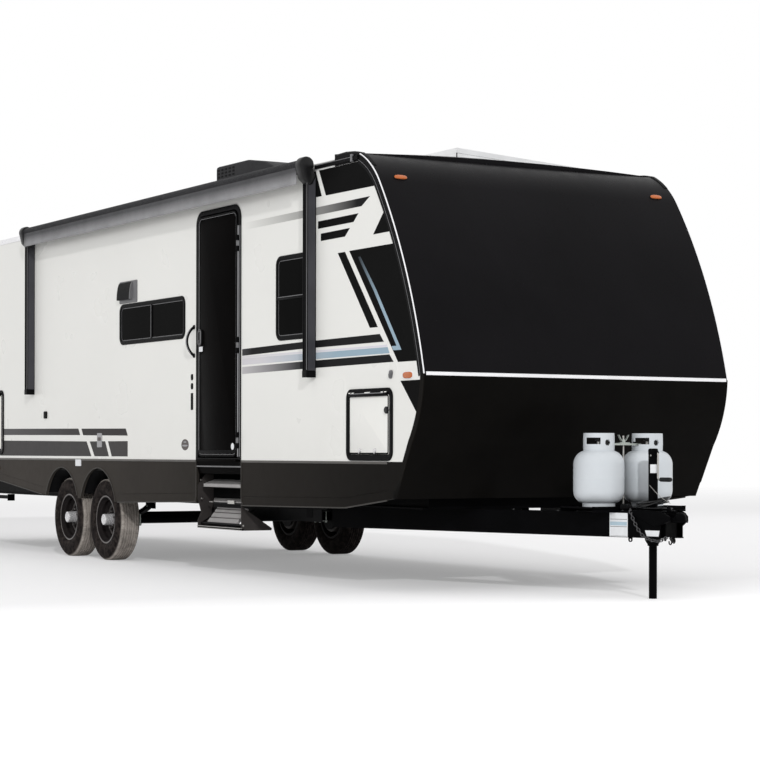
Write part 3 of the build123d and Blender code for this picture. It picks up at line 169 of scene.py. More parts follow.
def pillow(patch, low, high, radius, base, top, soft, plane="side"):
    """A rounded rectangular plate whose outer edge is rounded over by a quarter circle."""
    turn = np.linspace(0, pi / 2, 4)
    levels = [(oblong(low, high, radius), base)]
    way = 1 if top > base else -1
    for angle in turn:
        inset = soft * (1 - cos(angle))
        rim = oblong((low[0] + inset, low[1] + inset), (high[0] - inset, high[1] - inset),
                     max(radius - inset, 0.0004))
        levels.append((rim, top - way * soft * (1 - sin(angle))))
    stack(patch, levels, plane)


def box(patch, low, high, soft=0.0):
    """A box between two corners, with its upright edges and its top rounded by soft."""
    low, high = np.minimum(low, high), np.maximum(low, high)
    if soft:
        pillow(patch, low[:2], high[:2], soft * 1.5, low[2], high[2], soft, "flat")
    else:
        corners = [(low[0], low[1]), (high[0], low[1]), (high[0], high[1]), (low[0], high[1])]
        slab(patch, corners, low[2], high[2], "flat")


def ring(patch, outlines, plane="side"):
    """A closed band: a section whose points are outlines (outline, depth), carried round and joined up."""
    sheet(patch, layered(outlines, plane), close_rows=True, close_cols=True)


def lathe(patch, profile, centre, axis="z", steps=48):
    """Surface of revolution: (radius, height) pairs turned about an axis through centre."""
    profile = np.asarray(profile, float)
    turn = around(steps)
    flat = profile[:, None, 0] * np.stack([np.cos(turn), np.sin(turn)])[:, None, :]
    tall = np.repeat(profile[:, 1][:, None], steps, 1)
    spin = {"z": (flat[0], flat[1], tall), "y": (flat[0], tall, flat[1]), "x": (tall, flat[0], flat[1])}
    sheet(patch, np.stack(spin[axis], -1) + np.asarray(centre, float), close_cols=True)


def carry(patch, section, path, across=(0, 1, 0)):
    """A section (across, up) carried along a path; up is square to both the path and across."""
    path = np.asarray(path, float)
    section = np.asarray(section, float)
    ahead = np.gradient(path, axis=0)
    ahead /= np.linalg.norm(ahead, axis=1)[:, None]
    side = np.asarray(across, float) - (ahead @ np.asarray(across, float))[:, None] * ahead
    side /= np.linalg.norm(side, axis=1)[:, None]
    up = np.cross(side, ahead)
    points = path[:, None] + section[None, :, :1] * side[:, None] + section[None, :, 1:] * up[:, None]
    prism(patch, points)


def circle(radius, steps=12):
    """Points of a circle about the origin."""
    return polar(radius, around(steps))


def tube(patch, path, radius, steps=12, across=(0.13, 0.31, 0.94)):
    """A round bar along a path."""
    carry(patch, circle(radius, steps), path, across)


def rod(patch, start, end, radius, steps=12):
    """A straight round bar between two points."""
    start, end = np.asarray(start, float), np.asarray(end, float)
    run = (end - start) / np.linalg.norm(end - start)
    across = (0, 0, 1) if abs(run[2]) < 0.9 else (1, 0, 0)
    carry(patch, circle(radius, steps), [start, (start + end) / 2, end], across)


def bolt(patch, place, facing, radius=0.007, high=0.005):
    """A hexagonal bolt head on a surface that faces along facing."""
    start = np.asarray(place, float)
    rod(patch, start - 0.002 * np.asarray(facing), start + high * np.asarray(facing), radius, 6)


def arc_through(first, middle, last, steps):
    """Points of the circle through three points: its centre is where their middle lines meet."""
    (ax, ay), (bx, by), (cx, cy) = first, middle, last
    double = 2 * (ax * (by - cy) + bx * (cy - ay) + cx * (ay - by))
    sq = [x * x + y * y for x, y in (first, middle, last)]
    ux = (sq[0] * (by - cy) + sq[1] * (cy - ay) + sq[2] * (ay - by)) / double
    uy = (sq[0] * (cx - bx) + sq[1] * (ax - cx) + sq[2] * (bx - ax)) / double
    turns = np.unwrap([atan2(y - uy, x - ux) for x, y in (first, middle, last)])
    turn = np.linspace(turns[0], turns[2], steps)
    radius = hypot(ax - ux, ay - uy)
    return (ux, uy) + polar(radius, turn)


def inset(line, amount):
    """An open line of (x, z) points moved sideways, square to itself."""
    ahead = np.gradient(line, axis=0)
    ahead /= np.linalg.norm(ahead, axis=1)[:, None]
    return line + amount * np.stack([-ahead[:, 1], ahead[:, 0]], -1)


# Nose outline from the chin to the roof, as (x, z)
CHIN = np.linspace((at(0.338), 0.613), (at(0.15), 0.965), 12)
NOSE_LOW = arc_through((at(0.15), 0.965), (at(0.06), 1.13), (at(0.0), SEAM_Z), 24)
NOSE_HIGH = arc_through((at(0.0), SEAM_Z), (at(0.173), 1.96), (at(0.555), 2.676), 60)
NOSE_CREST = arc_through((at(0.555), 2.676), (at(0.692), 2.822), (at(0.82), RAIL_Z), 20)
LOWER_LINE = np.concatenate([CHIN[:-1], NOSE_LOW])
UPPER_LINE = np.concatenate([NOSE_HIGH[:-1], NOSE_CREST])
NOSE_LINE = np.concatenate([LOWER_LINE[:-1], UPPER_LINE])


def front_edge(low_z, high_z, amount=0.045):
    """The nose outline moved inwards, between two heights, from the low end up."""
    line = inset(NOSE_LINE, amount)
    part = line[(line[:, 1] > low_z) & (line[:, 1] < high_z)]
    low_x, high_x = (np.interp(z, line[:, 1], line[:, 0]) for z in (low_z, high_z))
    return np.concatenate([[(low_x, low_z)], part, [(high_x, high_z)]])


# ---- finishes
def tone(red, green, blue):
    """A colour given as screen values from 0 to 255, as the linear values that shaders take."""
    share = np.array([red, green, blue]) / 255
    linear = np.where(share <= 0.04045, share / 12.92, ((share + 0.055) / 1.055) ** 2.4)
    return tuple(float(value) for value in linear)


class Sketch:
    """Node tree of one finish or of the world, with short calls for its nodes and links."""

    def __init__(self, name, world=None):
        self.material = world or bpy.data.materials.new(name)
        self.material.use_nodes = True
        self.tree = self.material.node_tree
        self.tree.nodes.clear()
        self.out = self.node("OutputWorld" if world else "OutputMaterial")
        if not world:
            self.place = self.node("TexCoord").outputs["Object"]

    def node(self, kind, **values):
        """A shader node; values name its properties, or its inputs after in_."""
        item = self.tree.nodes.new("ShaderNode" + kind)
        for key, value in values.items():
            if key.startswith("in_"):
                socket = item.inputs[int(key[3:]) if key[3:].isdigit() else key[3:].replace("_", " ")]
                if isinstance(value, bpy.types.NodeSocket):
                    self.tree.links.new(value, socket)
                else:
                    socket.default_value = value
            else:
                setattr(item, key, value)
        return item

    def noise(self, scale, detail=3.0, rough=0.55, place=None):
        """Soft noise over the object, as a factor."""
        texture = self.node("TexNoise", in_Vector=place or self.place)
        texture.inputs["Scale"].default_value = scale
        texture.inputs["Detail"].default_value = detail
        texture.inputs["Roughness"].default_value = rough
        return texture.outputs["Fac"]

    def ramp(self, factor, low, high, first, second):
        """Two colours mixed by a factor that runs from low to high."""
        item = self.node("ValToRGB", in_Fac=factor)
        ends = item.color_ramp.elements
        ends[0].position, ends[1].position = low, high
        ends[0].color, ends[1].color = (*first, 1), (*second, 1)
        return item.outputs["Color"]

    def span(self, factor, low, high, first, second):
        """A number that runs from first to second while a factor runs from low to high."""
        item = self.node("MapRange", in_Value=factor)
        for socket, value in zip(item.inputs[1:5], (low, high, first, second)):
            socket.default_value = value
        return item.outputs["Result"]

    def math(self, operation, first, second):
        """One sum on two numbers or sockets."""
        return self.node("Math", operation=operation, in_0=first, in_1=second).outputs["Value"]

    def wave(self, operation, axis, pitch):
        """SINE or COSINE of one coordinate, with the given pitch."""
        return self.math(operation, self.math("MULTIPLY", self.axis(axis), 2 * pi / pitch), 0.0)

    def scaled(self, *factors):
        """Factors multiplied together."""
        product = factors[0]
        for factor in factors[1:]:
            product = self.math("MULTIPLY", product, factor)
        return product

    def seen(self):
        """1 for what the camera sees straight, mirrored or through glass, else 0."""
        path = self.node("LightPath")
        seen = path.outputs["Is Camera Ray"]
        for other in ("Is Glossy Ray", "Is Transmission Ray"):
            seen = self.math("MAXIMUM", seen, path.outputs[other])
        return seen

    def mix(self, factor, first, second):
        """Two colours mixed by a factor."""
        item = self.node("Mix", data_type="RGBA")
        for index, value in ((0, factor), (6, first), (7, second)):
            if isinstance(value, bpy.types.NodeSocket):
                self.tree.links.new(value, item.inputs[index])
            else:
                item.inputs[index].default_value = value if index == 0 else (*value, 1)
        return item.outputs[2]

    def axis(self, index):
        """One coordinate of the object's own place."""
        return self.node("SeparateXYZ", in_Vector=self.place).outputs[index]

    def close(self, colour, roughness, height=None, lift=0.0005, **fixed):
        """The surface shader: colour, roughness and a height for its bump, with fixed values."""
        shader = self.node("BsdfPrincipled")
        for name, value in (("Base Color", colour), ("Roughness", roughness)):
            if isinstance(value, bpy.types.NodeSocket):
                self.tree.links.new(value, shader.inputs[name])
            else:
                shader.inputs[name].default_value = value if name == "Roughness" else (*value, 1)
        for name, value in fixed.items():
            shader.inputs[name.replace("_", " ")].default_value = value
        if height is not None:
            bump = self.node("Bump", in_Height=height)
            bump.inputs["Strength"].default_value = 1.0
            bump.inputs["Distance"].default_value = lift
            self.tree.links.new(bump.outputs["Normal"], shader.inputs["Normal"])
        self.tree.links.new(shader.outputs[0], self.out.inputs["Surface"])
        return self.material


def plain(name, colour, roughness, blotch, size, grain=0.0, fine=500.0, specular=0.5, metallic=0.0):
    """A painted, moulded or metal surface: slow noise varies its colour, faster noise its roughness,
    and fine noise gives its grain."""
    art = Sketch(name)
    low = tuple(c * (1 - blotch) for c in colour)
    high = tuple(min(c * (1 + blotch), 1.0) for c in colour)
    shade = art.ramp(art.noise(size), 0.35, 0.65, low, high)
    rough = art.span(art.noise(size * 9, 4.0), 0.3, 0.7, roughness - 0.05, roughness + 0.05)
    height = art.noise(fine, 2.0) if grain else None
    return art.close(shade, rough, height, grain, Metallic=metallic, Specular_IOR_Level=specular)


def faded(name, start, end, low_x, high_x):
    """A stripe whose colour runs from start to end while X runs from low_x to high_x."""
    art = Sketch(name)
    way = art.span(art.axis(0), low_x, high_x, 0.0, 1.0)
    speck = art.noise(600.0, 2.0)
    shade = art.ramp(way, 0.0, 1.0, start, end)
    return art.close(shade, art.span(speck, 0.3, 0.7, 0.31, 0.39), speck, 0.00004, Specular_IOR_Level=0.02)


def ribbed(name, colour, roughness, axis, pitch, depth, specular):
    """A surface with even rounded ribs across one axis, as the sine of that coordinate."""
    art = Sketch(name)
    wave = art.wave("SINE", axis, pitch)
    shade = art.ramp(art.noise(6.0), 0.3, 0.7, tuple(c * 0.85 for c in colour), colour)
    rough = art.span(art.noise(40.0), 0.3, 0.7, roughness - 0.06, roughness + 0.06)
    return art.close(shade, rough, wave, depth, Specular_IOR_Level=specular)


def make_wall(name, colour):
    """Smooth gloss-white side skin: faint waviness, and a little road dust low down."""
    art = Sketch(name)
    shade = art.ramp(art.noise(0.9, 2.0), 0.3, 0.7, tuple(c * 0.975 for c in colour), colour)
    dust = art.math("MULTIPLY", art.span(art.axis(2), 0.85, 1.5, 0.1, 0.0), art.noise(5.0, 5.0))
    shade = art.mix(dust, shade, tone(170, 166, 158))
    rough = art.span(art.noise(3.0, 2.0), 0.3, 0.7, 0.27, 0.31)
    return art.close(shade, rough, art.noise(320.0, 2.0), 0.00003, Specular_IOR_Level=0.3)


def make_skirt(name, colour):
    """Charcoal sheet, darker towards the front and paler towards the rear as painted shade and painted light, with a
    fine orange-peel grain.
    """
    art = Sketch(name)
    # painted shade and light: the colour runs from 1.8 times the setting at the rear to 0.3 times at the front
    way = art.span(art.axis(0), -7.0, -1.5, 0.0, 1.0)
    shade = art.mix(way, tuple(c * 1.8 for c in colour), tuple(c * 0.3 for c in colour))
    shade = art.mix(art.span(art.noise(1.6), 0.3, 0.7, 0.0, 0.12), shade, (0.0, 0.0, 0.0))
    rough = art.span(art.noise(14.0, 4.0), 0.3, 0.7, 0.37, 0.47)
    return art.close(shade, rough, art.noise(700.0, 2.0), 0.00006, Specular_IOR_Level=0.015)


def make_tyre(name):
    """Rubber with a fine grain, and a pale tread on the door side's tyres, partly dust and partly painted light; the
    far side's treads stay dark as painted shade.

    The tread is where the distance from the nearest axle is close to the tyre's radius.
    """
    art = Sketch(name)
    # near is 1 on the door side's tyres only: leaving the far side's treads dark is painted shade
    near = art.scaled(art.span(art.axis(1), -1.172, -1.162, 0.0, 1.0), art.span(art.axis(1), -0.6, -0.5, 1.0, 0.0))
    front_x, rear_x = (at(back) for back in AXLES_BACK.values())
    off = art.math("ADD", art.axis(0), -(front_x + rear_x) / 2)
    off = art.math("SUBTRACT", art.math("ABSOLUTE", off, 0.0), abs(front_x - rear_x) / 2)
    rise = art.math("SUBTRACT", art.axis(2), AXLE_Z)
    reach = art.math("SQRT", art.math("ADD", art.scaled(off, off), art.scaled(rise, rise)), 0.0)
    out = art.scaled(near, art.span(reach, 0.318, 0.334, 0.0, 1.0))
    # the pale tread colour is partly dust and partly painted light
    dust_and_painted_light = art.scaled(art.span(art.noise(9.0, 6.0, 0.7), 0.3, 0.7, 0.35, 1.0), out)
    shade = art.ramp(art.noise(22.0, 5.0, 0.7), 0.42, 0.72, tone(24, 21, 21), tone(60, 54, 51))
    shade = art.mix(dust_and_painted_light, shade, tone(172, 165, 158))
    rough = art.span(art.noise(60.0, 4.0), 0.3, 0.7, 0.62, 0.85)
    return art.close(shade, rough, art.noise(240.0, 6.0, 0.7), 0.0008, Specular_IOR_Level=0.03)


def make_cloth(name, low, high, painted_lit_tone, dark):
    """Woven cloth with a fine weave across it, pale along its lower edge and dark above as painted light and shade."""
    art = Sketch(name)
    # painted light and shade: from the lit tone at low to the dark tone at high
    shade = art.mix(art.span(art.axis(2), low, high, 0.0, 1.0), painted_lit_tone, dark)
    shade = art.mix(art.span(art.noise(5.0, 4.0), 0.3, 0.7, 0.0, 0.18), shade, (0.0, 0.0, 0.0))
    weave = art.wave("SINE", 0, 0.0016)
    return art.close(shade, art.span(art.noise(40.0), 0.3, 0.7, 0.5, 0.62), weave, 0.0001, Specular_IOR_Level=0.06)


def make_cells(name):
    """Dark cells under glass: a grid of fine pale lines from two square waves of the place."""
    art = Sketch(name)
    lines = []
    for axis, pitch in ((0, 0.0833), (1, 0.158)):
        lines.append(art.span(art.wave("COSINE", axis, pitch), 0.985, 0.999, 0.0, 1.0))
    grid = art.math("MAXIMUM", lines[0], lines[1])
    shade = art.mix(grid, tone(16, 18, 30), tone(120, 124, 132))
    return art.close(shade, art.span(art.noise(30.0), 0.3, 0.7, 0.1, 0.2), Specular_IOR_Level=0.4,
                     Coat_Weight=0.3, Coat_Roughness=0.03)


def make_membrane(name):
    """Pale roofing sheet: chalky, with seams across it and greyed patches."""
    art = Sketch(name)
    seam = art.span(art.wave("COSINE", 0, 2.4), 0.9995, 1.0, 0.0, 1.0)
    shade = art.ramp(art.noise(1.5, 5.0, 0.65), 0.3, 0.75, tone(214, 214, 212), tone(236, 236, 234))
    shade = art.mix(seam, shade, tone(190, 190, 188))
    return art.close(shade, art.span(art.noise(20.0), 0.3, 0.7, 0.6, 0.75), art.noise(90.0, 4.0), 0.0006,
                     Specular_IOR_Level=0.3)


def make_board(name):
    """Plain board: long grain from noise stretched along the caravan."""
    art = Sketch(name)
    stretched = art.node("Mapping", in_Vector=art.place, in_Scale=(1.0, 14.0, 14.0)).outputs["Vector"]
    grain = art.noise(6.0, 6.0, 0.6, stretched)
    shade = art.ramp(grain, 0.3, 0.7, tone(150, 118, 84), tone(186, 154, 116))
    return art.close(shade, art.span(grain, 0.3, 0.7, 0.5, 0.65), grain, 0.0004, Specular_IOR_Level=0.3)


# Painted, moulded and metal finishes: colour on screen or the name of a setting, roughness, blotch,
# blotch size, grain, grain size, specular level and metallic share, as plain takes them
PLAIN = {
    "nose_gloss": ("nose", 0.3, 0.15, 1.2, 0.00003, 900, 0.05),
    "nose_texture": ("chin", 0.5, 0.2, 3, 0.0007, 260, 0.03),
    "skirt_edge": ((84, 82, 79), 0.35, 0.1, 4, 0.00004, 500, 0.15),
    "frame_black": ((14, 14, 15), 0.3, 0.15, 5, 0.00008, 500, 0.02),
    "moulded_black": ((13, 13, 14), 0.4, 0.12, 7, 0.00012, 800, 0.03),
    "door_gloss": ((10, 9, 9), 0.2, 0.2, 1.6, 0.00012, 3, 0.004),
    "hinge_grey": ((106, 106, 108), 0.38, 0.08, 6, 0.00005, 500, 0.45),
    "enamel_black": ((6, 6, 7), 0.4, 0.25, 4, 0.00015, 320, 0.02),
    "plated_steel": ((176, 174, 170), 0.3, 0.12, 25, 0.00006, 600, 0.5, 1),
    "zinc_plate": ((168, 174, 168), 0.42, 0.15, 30, 0.0001, 300, 0.5, 0.85),
    "chrome": ((212, 211, 212), 0.26, 0.04, 12, 0, 500, 0.5, 0.5),
    "bead_white": ((236, 236, 238), 0.3, 0.03, 5, 0.00002),
    "tread_grey": ((150, 148, 147), 0.5, 0.08, 9, 0.0003, 500, 0.3),
    "step_steel": ((54, 51, 50), 0.42, 0.12, 6, 0.0001, 400, 0.08),
    "bottle_white": ("bottle", 0.38, 0.025, 5, 0.00008, 420, 0.4),
    "wheel_steel": ((30, 27, 27), 0.3, 0.15, 8, 0.00008, 500, 0.02),
    # light metallic grey: on the rim's lip a painted highlight, on the nuts their bare metal
    "rim_edge": ((92, 88, 86), 0.3, 0.15, 20, 0, 500, 0.5, 0.7),
    "brake_iron": ((58, 54, 52), 0.65, 0.25, 18, 0.0003, 200),
    "glass_dark": ((9, 9, 9), 0.1, 0.2, 1, 0.00005, 4, 0.006),
    "rubber_black": ((20, 20, 21), 0.36, 0.15, 12, 0.0001, 500, 0.22),
    "cable_black": ((9, 9, 10), 0.22, 0.15, 30, 0.0001, 700, 0.35),
    "awning_metal": ((60, 60, 64), 0.34, 0.08, 4, 0.00004, 700, 0.15),
    "shroud_black": ((42, 42, 44), 0.5, 0.1, 3, 0.0002, 500, 0.06),
    "vent_white": ((226, 226, 224), 0.45, 0.04, 5, 0.00008),
    "smoke_lid": ((52, 52, 54), 0.18, 0.1, 5, 0.00004, 500, 0.4),
    "cover_white": ((228, 229, 230), 0.4, 0.03, 6, 0.00006),
    "vent_grey": ((96, 96, 98), 0.42, 0.1, 8, 0.00008, 500, 0.4),
    "label_white": ((222, 224, 226), 0.45, 0.04, 30, 0.00002),
    "stripe_black": ((18, 18, 18), 0.34, 0.08, 3, 0.00003, 600, 0.006),
    "band_grey": ((62, 60, 60), 0.36, 0.06, 3, 0.00003, 600, 0.04),
    "edge_dark": ((58, 56, 53), 0.38, 0.1, 4, 0.00004, 500, 0.08),
    "badge_brown": ((62, 52, 49), 0.4, 0.1, 20, 0.00003),
    "pale_blue": ((168, 190, 202), 0.45, 0.05, 30, 0.00002),
    "line_grey": ((150, 150, 152), 0.35, 0.06, 9, 0.00003, 500, 0.3),
    "chain_black": ((44, 44, 46), 0.25, 0.3, 60, 0.0001, 400, 0.8),
    "rib_grey": ((96, 95, 94), 0.5, 0.1, 9, 0.0002, 500, 0.2),
    "panel_rim": ((232, 233, 234), 0.4, 0.04, 8, 0.00004, 500, 0.5, 0.15),
}

# Finishes with a pattern of their own: the maker and what it takes after the name
PATTERNED = {
    "wall_skin": (make_wall, "wall"),
    "bay_skin": (make_wall, "wall"),
    "skirt_charcoal": (make_skirt, "skirt"),
    "lens_amber": (ribbed, "amber", 0.2, 2, 0.006, 0.0004, 0.5),
    "lens_red": (ribbed, (168, 18, 14), 0.2, 2, 0.01, 0.0005, 0.5),
    "belly_black": (ribbed, (22, 22, 22), 0.55, 0, 0.05, 0.003, 0.1),
    # the roll's pale lower edge is light reflected from the wall, painted into the cloth
    "awning_cloth": (make_cloth, 2.846, 2.864, (84, 84, 86), (42, 42, 44)),
    # the hem's grey, dark at its top, is a painted shadow: it stands for the roll's shadow on the wall
    "awning_hem": (make_cloth, 2.756, 2.85, (166, 166, 168), (80, 80, 82)),
    "roof_sheet": (make_membrane,),
    "tyre_rubber": (make_tyre,),
    "solar_cells": (make_cells,),
    "plain_board": (make_board,),
    "sealed_board": (ribbed, (20, 19, 18), 0.6, 1, 0.045, 0.0002, 0.1),
}


def palette():
    """The colours that a user may change."""
    return bpy.context.scene.caravan_colours


def as_shader(value):
    """A finish's value as shaders take it: a setting's colour by name, a screen colour, or a plain number."""
    if isinstance(value, str):
        return tuple(getattr(palette(), value))
    return tone(*value) if isinstance(value, tuple) else value


def finish(name):
    """The finish of that name, made when first asked for."""
    look = "look_" + name
    maker, *values = PATTERNED.get(name) or (plain, *PLAIN[name])
    return bpy.data.materials.get(look) or maker(look, *map(as_shader, values))


def dress(patch, name, look, body="caravan", covers=(), sharp=32.0):
    """Make a gathered patch into a finished piece.

    Points at one place are merged, faces are turned outwards, and edges sharper than the
    given angle stay crisp. The piece rides on its body and may stand for frame nodes.
    """
    mesh = bpy.data.meshes.new(name)
    mesh.from_pydata(np.concatenate(patch.verts).tolist(), [], patch.faces)
    work = bmesh.new()
    work.from_mesh(mesh)
    bmesh.ops.remove_doubles(work, verts=work.verts, dist=0.00002)
    bmesh.ops.dissolve_degenerate(work, edges=work.edges, dist=0.00001)
    bmesh.ops.recalc_face_normals(work, faces=work.faces)
    work.to_mesh(mesh)
    work.free()
    mesh.polygons.foreach_set("use_smooth", np.ones(len(mesh.polygons), bool))
    mesh.set_sharp_from_angle(angle=radians(sharp))
    mesh.materials.append(look if isinstance(look, bpy.types.Material) else finish(look))
    piece = bpy.data.objects.new(name, mesh)
    bpy.context.scene.collection.objects.link(piece)
    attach(piece, body)
    if covers:
        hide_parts(*covers)
    return piece


def thicken(piece, thickness):
    """Give a sheet its wall, half to each side, with a Solidify modifier."""
    wall = piece.modifiers.new("wall", "SOLIDIFY")
    wall.thickness, wall.offset = thickness, 0.0
    return piece


# ---- settings
def colour_setting(name, description, values):
    """A colour that a user may change."""
    return bpy.props.FloatVectorProperty(name=name, description=description, subtype="COLOR", size=3,
                                         min=0.0, max=1.0, default=values)


class CaravanColours(bpy.types.PropertyGroup):
    """Colours of the caravan."""
    wall: colour_setting("Wall", "Gloss side skin", tone(230, 230, 226))
    nose: colour_setting("Nose", "Smooth upper front panel", tone(15, 14, 16))
    chin: colour_setting("Chin", "Textured lower front panel", tone(9, 8, 7))
    skirt: colour_setting("Skirt", "Satin lower side panels", tone(46, 43, 40))
    bottle: colour_setting("Bottle", "Enamel of the gas bottles", tone(200, 205, 209))
    amber: colour_setting("Amber", "Marker lamp lenses", tone(190, 100, 44))
    stripe: colour_setting("Stripe", "Pale accent stripe", tone(150, 172, 186))


def length_setting(name, description, value):
    """A length that a user may change, in metres."""
    return bpy.props.FloatProperty(name=name, description=description, default=value, min=0.0, unit="LENGTH")


class CaravanSizes(bpy.types.PropertyGroup):
    """Sizes of the dressed pieces."""
    decal_proud: length_setting("Decal", "How far a decal stands out of the wall", 0.0008)
    bead: length_setting("Bead", "Radius of the pale bead round the nose", 0.0048)
    coil_radius: length_setting("Coil", "Mean radius of the tow cable's turns", 0.104)
    coil_turns: bpy.props.IntProperty(name="Turns", description="Turns of the tow cable", default=4, min=1)
    tread_blocks: bpy.props.IntProperty(name="Blocks", description="Tread blocks round a tyre", default=54, min=8)


def sizes():
    """The sizes that a user may change."""
    return bpy.context.scene.caravan_sizes


# ---- stage
# Lamps: place, what they point at, width and height, power; the key's place is only its direction
LAMPS = {"lamp_top": ((-5.0, 1.5, 11.0), (-5.0, -0.5, 0.0), (18.0, 11.0), 240.0),
         "lamp_side": ((-1.0, -13.0, 6.0), (-5.5, -1.0, 1.2), (16.0, 8.0), 235.0),
         "lamp_far": ((-5.0, 13.0, 5.0), (-5.5, 1.0, 1.0), (16.0, 7.0), 180.0),
         "strip_side": ((2.0, -9.0, 4.5), (-4.0, -1.2, 2.0), (7.0, 0.5), 60.0),
         "key": ((0.87, -0.33, 0.365), (0.0, 0.0, 0.0), None, 1.3)}
# Camera: place, turn in degrees, lens in millimetres and upward shift
CAMERA_PLACE, CAMERA_TURN = (10.6332, -8.1855, 0.9179), (90.0, -0.1163, 59.747)
CAMERA_LENS, CAMERA_SHIFT = 100.511, 0.0944
WORLD_LEVEL = 0.63
SUN_ANGLE = 2.2
FLOOR_X = -4.0


def place_item(name, data, where=(0.0, 0.0, 0.0)):
    """A new object at a place in the scene."""
    item = bpy.data.objects.new(name, data)
    item.location = where
    bpy.context.scene.collection.objects.link(item)
    return item


def stage_lights(scene):
    """A white studio: even world light, broad lamps above and on both sides, a thin strip that only
    shows as a gleam, and a low sun from ahead for the shadows."""
    scene.world = bpy.data.worlds.new("studio")
    art = Sketch("studio", scene.world)
    seen = art.seen()
    levels = [art.node("Background", in_Color=(*colour, 1), in_Strength=strength).outputs[0]
              for colour, strength in ((tone(253, 252, 252), WORLD_LEVEL), ((1, 1, 1), 1.0))]
    both = art.node("MixShader", in_0=seen, in_1=levels[0], in_2=levels[1])
    art.tree.links.new(both.outputs[0], art.out.inputs["Surface"])
    for name, (where, aim, size, power) in LAMPS.items():
        data = bpy.data.lights.new(name, "AREA" if size else "SUN")
        data.energy = power
        if size:
            data.shape = "RECTANGLE"
            data.size, data.size_y = size
        else:
            data.angle = radians(SUN_ANGLE)
        lamp = place_item(name, data, where)
        lamp.rotation_euler = (Vector(aim) - Vector(where)).to_track_quat("-Z", "Y").to_euler()
        lamp.visible_camera = False
        lamp.visible_glossy = name == "strip_side"


def stage_floor():
    """A broad pale disc that keeps the shadow and fades into the white world; for the camera it glows more towards the
    front, painted light that lifts the shadow there.
    """
    radii = np.concatenate([[0.001], np.linspace(2, 20, 10), np.linspace(25, 120, 12)])
    patch = Patch()
    flat = (FLOOR_X, 0.0) + polar(radii[:, None], around(96))
    sheet(patch, spread(flat[..., 0], flat[..., 1], 0.0), close_cols=True)
    mesh = bpy.data.meshes.new("floor")
    mesh.from_pydata(np.concatenate(patch.verts).tolist(), [], patch.faces)
    floor = place_item("floor", mesh)
    art = Sketch("floor_pale")
    centred = art.node("Mapping", in_Vector=art.place, in_Location=(-FLOOR_X, 0.0, 0.0)).outputs["Vector"]
    away = art.node("VectorMath", operation="LENGTH", in_0=centred).outputs["Value"]
    gone = art.span(away, 14.0, 42.0, 0.0, 1.0)
    seen = art.seen()
    matt = art.node("BsdfDiffuse", in_Color=art.mix(seen, tone(243, 243, 244), tone(214, 214, 215)))
    # painted light: the glow the camera sees grows from 0.28 at x -1.5 to 0.62 at x 1.2
    near = art.span(art.axis(0), -1.5, 1.2, 0.28, 0.62)
    backdrop_and_painted_light = art.node("Emission", in_Color=(1, 1, 1, 1), in_Strength=art.scaled(seen, near))
    both = art.node("AddShader", in_0=matt.outputs[0], in_1=backdrop_and_painted_light.outputs[0])
    clear = art.node("BsdfTransparent")
    fade = art.node("MixShader", in_0=gone, in_1=both.outputs[0], in_2=clear.outputs[0])
    art.tree.links.new(fade.outputs[0], art.out.inputs["Surface"])
    mesh.materials.append(art.material)


class CARAVAN_OT_stage(bpy.types.Operator):
    """Set the camera, the lamps, the world and the pale floor"""
    bl_idname = "caravan.stage"
    bl_label = "Stage"

    def execute(self, context):
        scene = context.scene
        data = bpy.data.cameras.new("camera")
        data.sensor_width, data.lens, data.shift_y, data.clip_end = 36.0, CAMERA_LENS, CAMERA_SHIFT, 400.0
        camera = place_item("camera", data, CAMERA_PLACE)
        camera.rotation_euler = [radians(turn) for turn in CAMERA_TURN]
        scene.camera = camera
        scene.view_settings.view_transform = "Standard"
        stage_lights(scene)
        stage_floor()
        return {"FINISHED"}


# ---- frame nodes
NODE_FINISHES = {
    "wall_skin": "wall_door_side wall_road_side rear_wall",
    "bay_skin": "bay_door_front_right bay_door_front_left bay_door_rear_right",
    "nose_gloss": "roof_fairing nose_upper",
    "nose_texture": "nose_lower",
    "skirt_charcoal": "skirts",
    "roof_sheet": "roof",
    "plain_board": "inner_boards",
    "sealed_board": "floor_deck",
    "frame_black": "window_frames bay_frames entry_frame grab_handle",
    "glass_dark": "window_glass",
    "door_gloss": "entry_door",
    "enamel_black": "main_frame tongue_rails tongue_deck coupler jack_body jack_ram bottle_tray axles "
                    "leaf_springs beam_brackets rear_bumper stabiliser_front_left stabiliser_front_right "
                    "stabiliser_rear_left stabiliser_rear_right",
    "belly_black": "belly_sheet",
    "zinc_plate": "safety_chains",
    "bottle_white": "gas_bottles",
    "step_steel": "step_frame",
    "tread_grey": "fold_step",
    "awning_metal": "awning_frame",
    "awning_cloth": "awning_roller",
    "shroud_black": "air_conditioner",
    "vent_white": "roof_vents",
    "smoke_lid": "vent_lid_front vent_lid_rear",
    "solar_cells": "solar_panel",
    "lens_amber": "lamps",
    "cover_white": "service_covers",
    "cable_black": "tow_cable tow_coil",
    "moulded_black": "tow_plug",
    "tyre_rubber": "tyre_front_left tyre_front_right tyre_rear_left tyre_rear_right",
    "wheel_steel": "wheel_front_left wheel_front_right wheel_rear_left wheel_rear_right",
}


class CARAVAN_OT_frame_finishes(bpy.types.Operator):
    """Give every node of the frame its finish"""
    bl_idname = "caravan.frame_finishes"
    bl_label = "Frame finishes"

    def execute(self, context):
        look_of = {node: look for look, nodes in NODE_FINISHES.items() for node in nodes.split()}
        for name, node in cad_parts.items():
            node.data.materials.clear()
            node.data.materials.append(finish(look_of[name]))
        return {"FINISHED"}


# ---- nose
NOSE_SKIN = 0.045
CHIN_X = at(0.389)


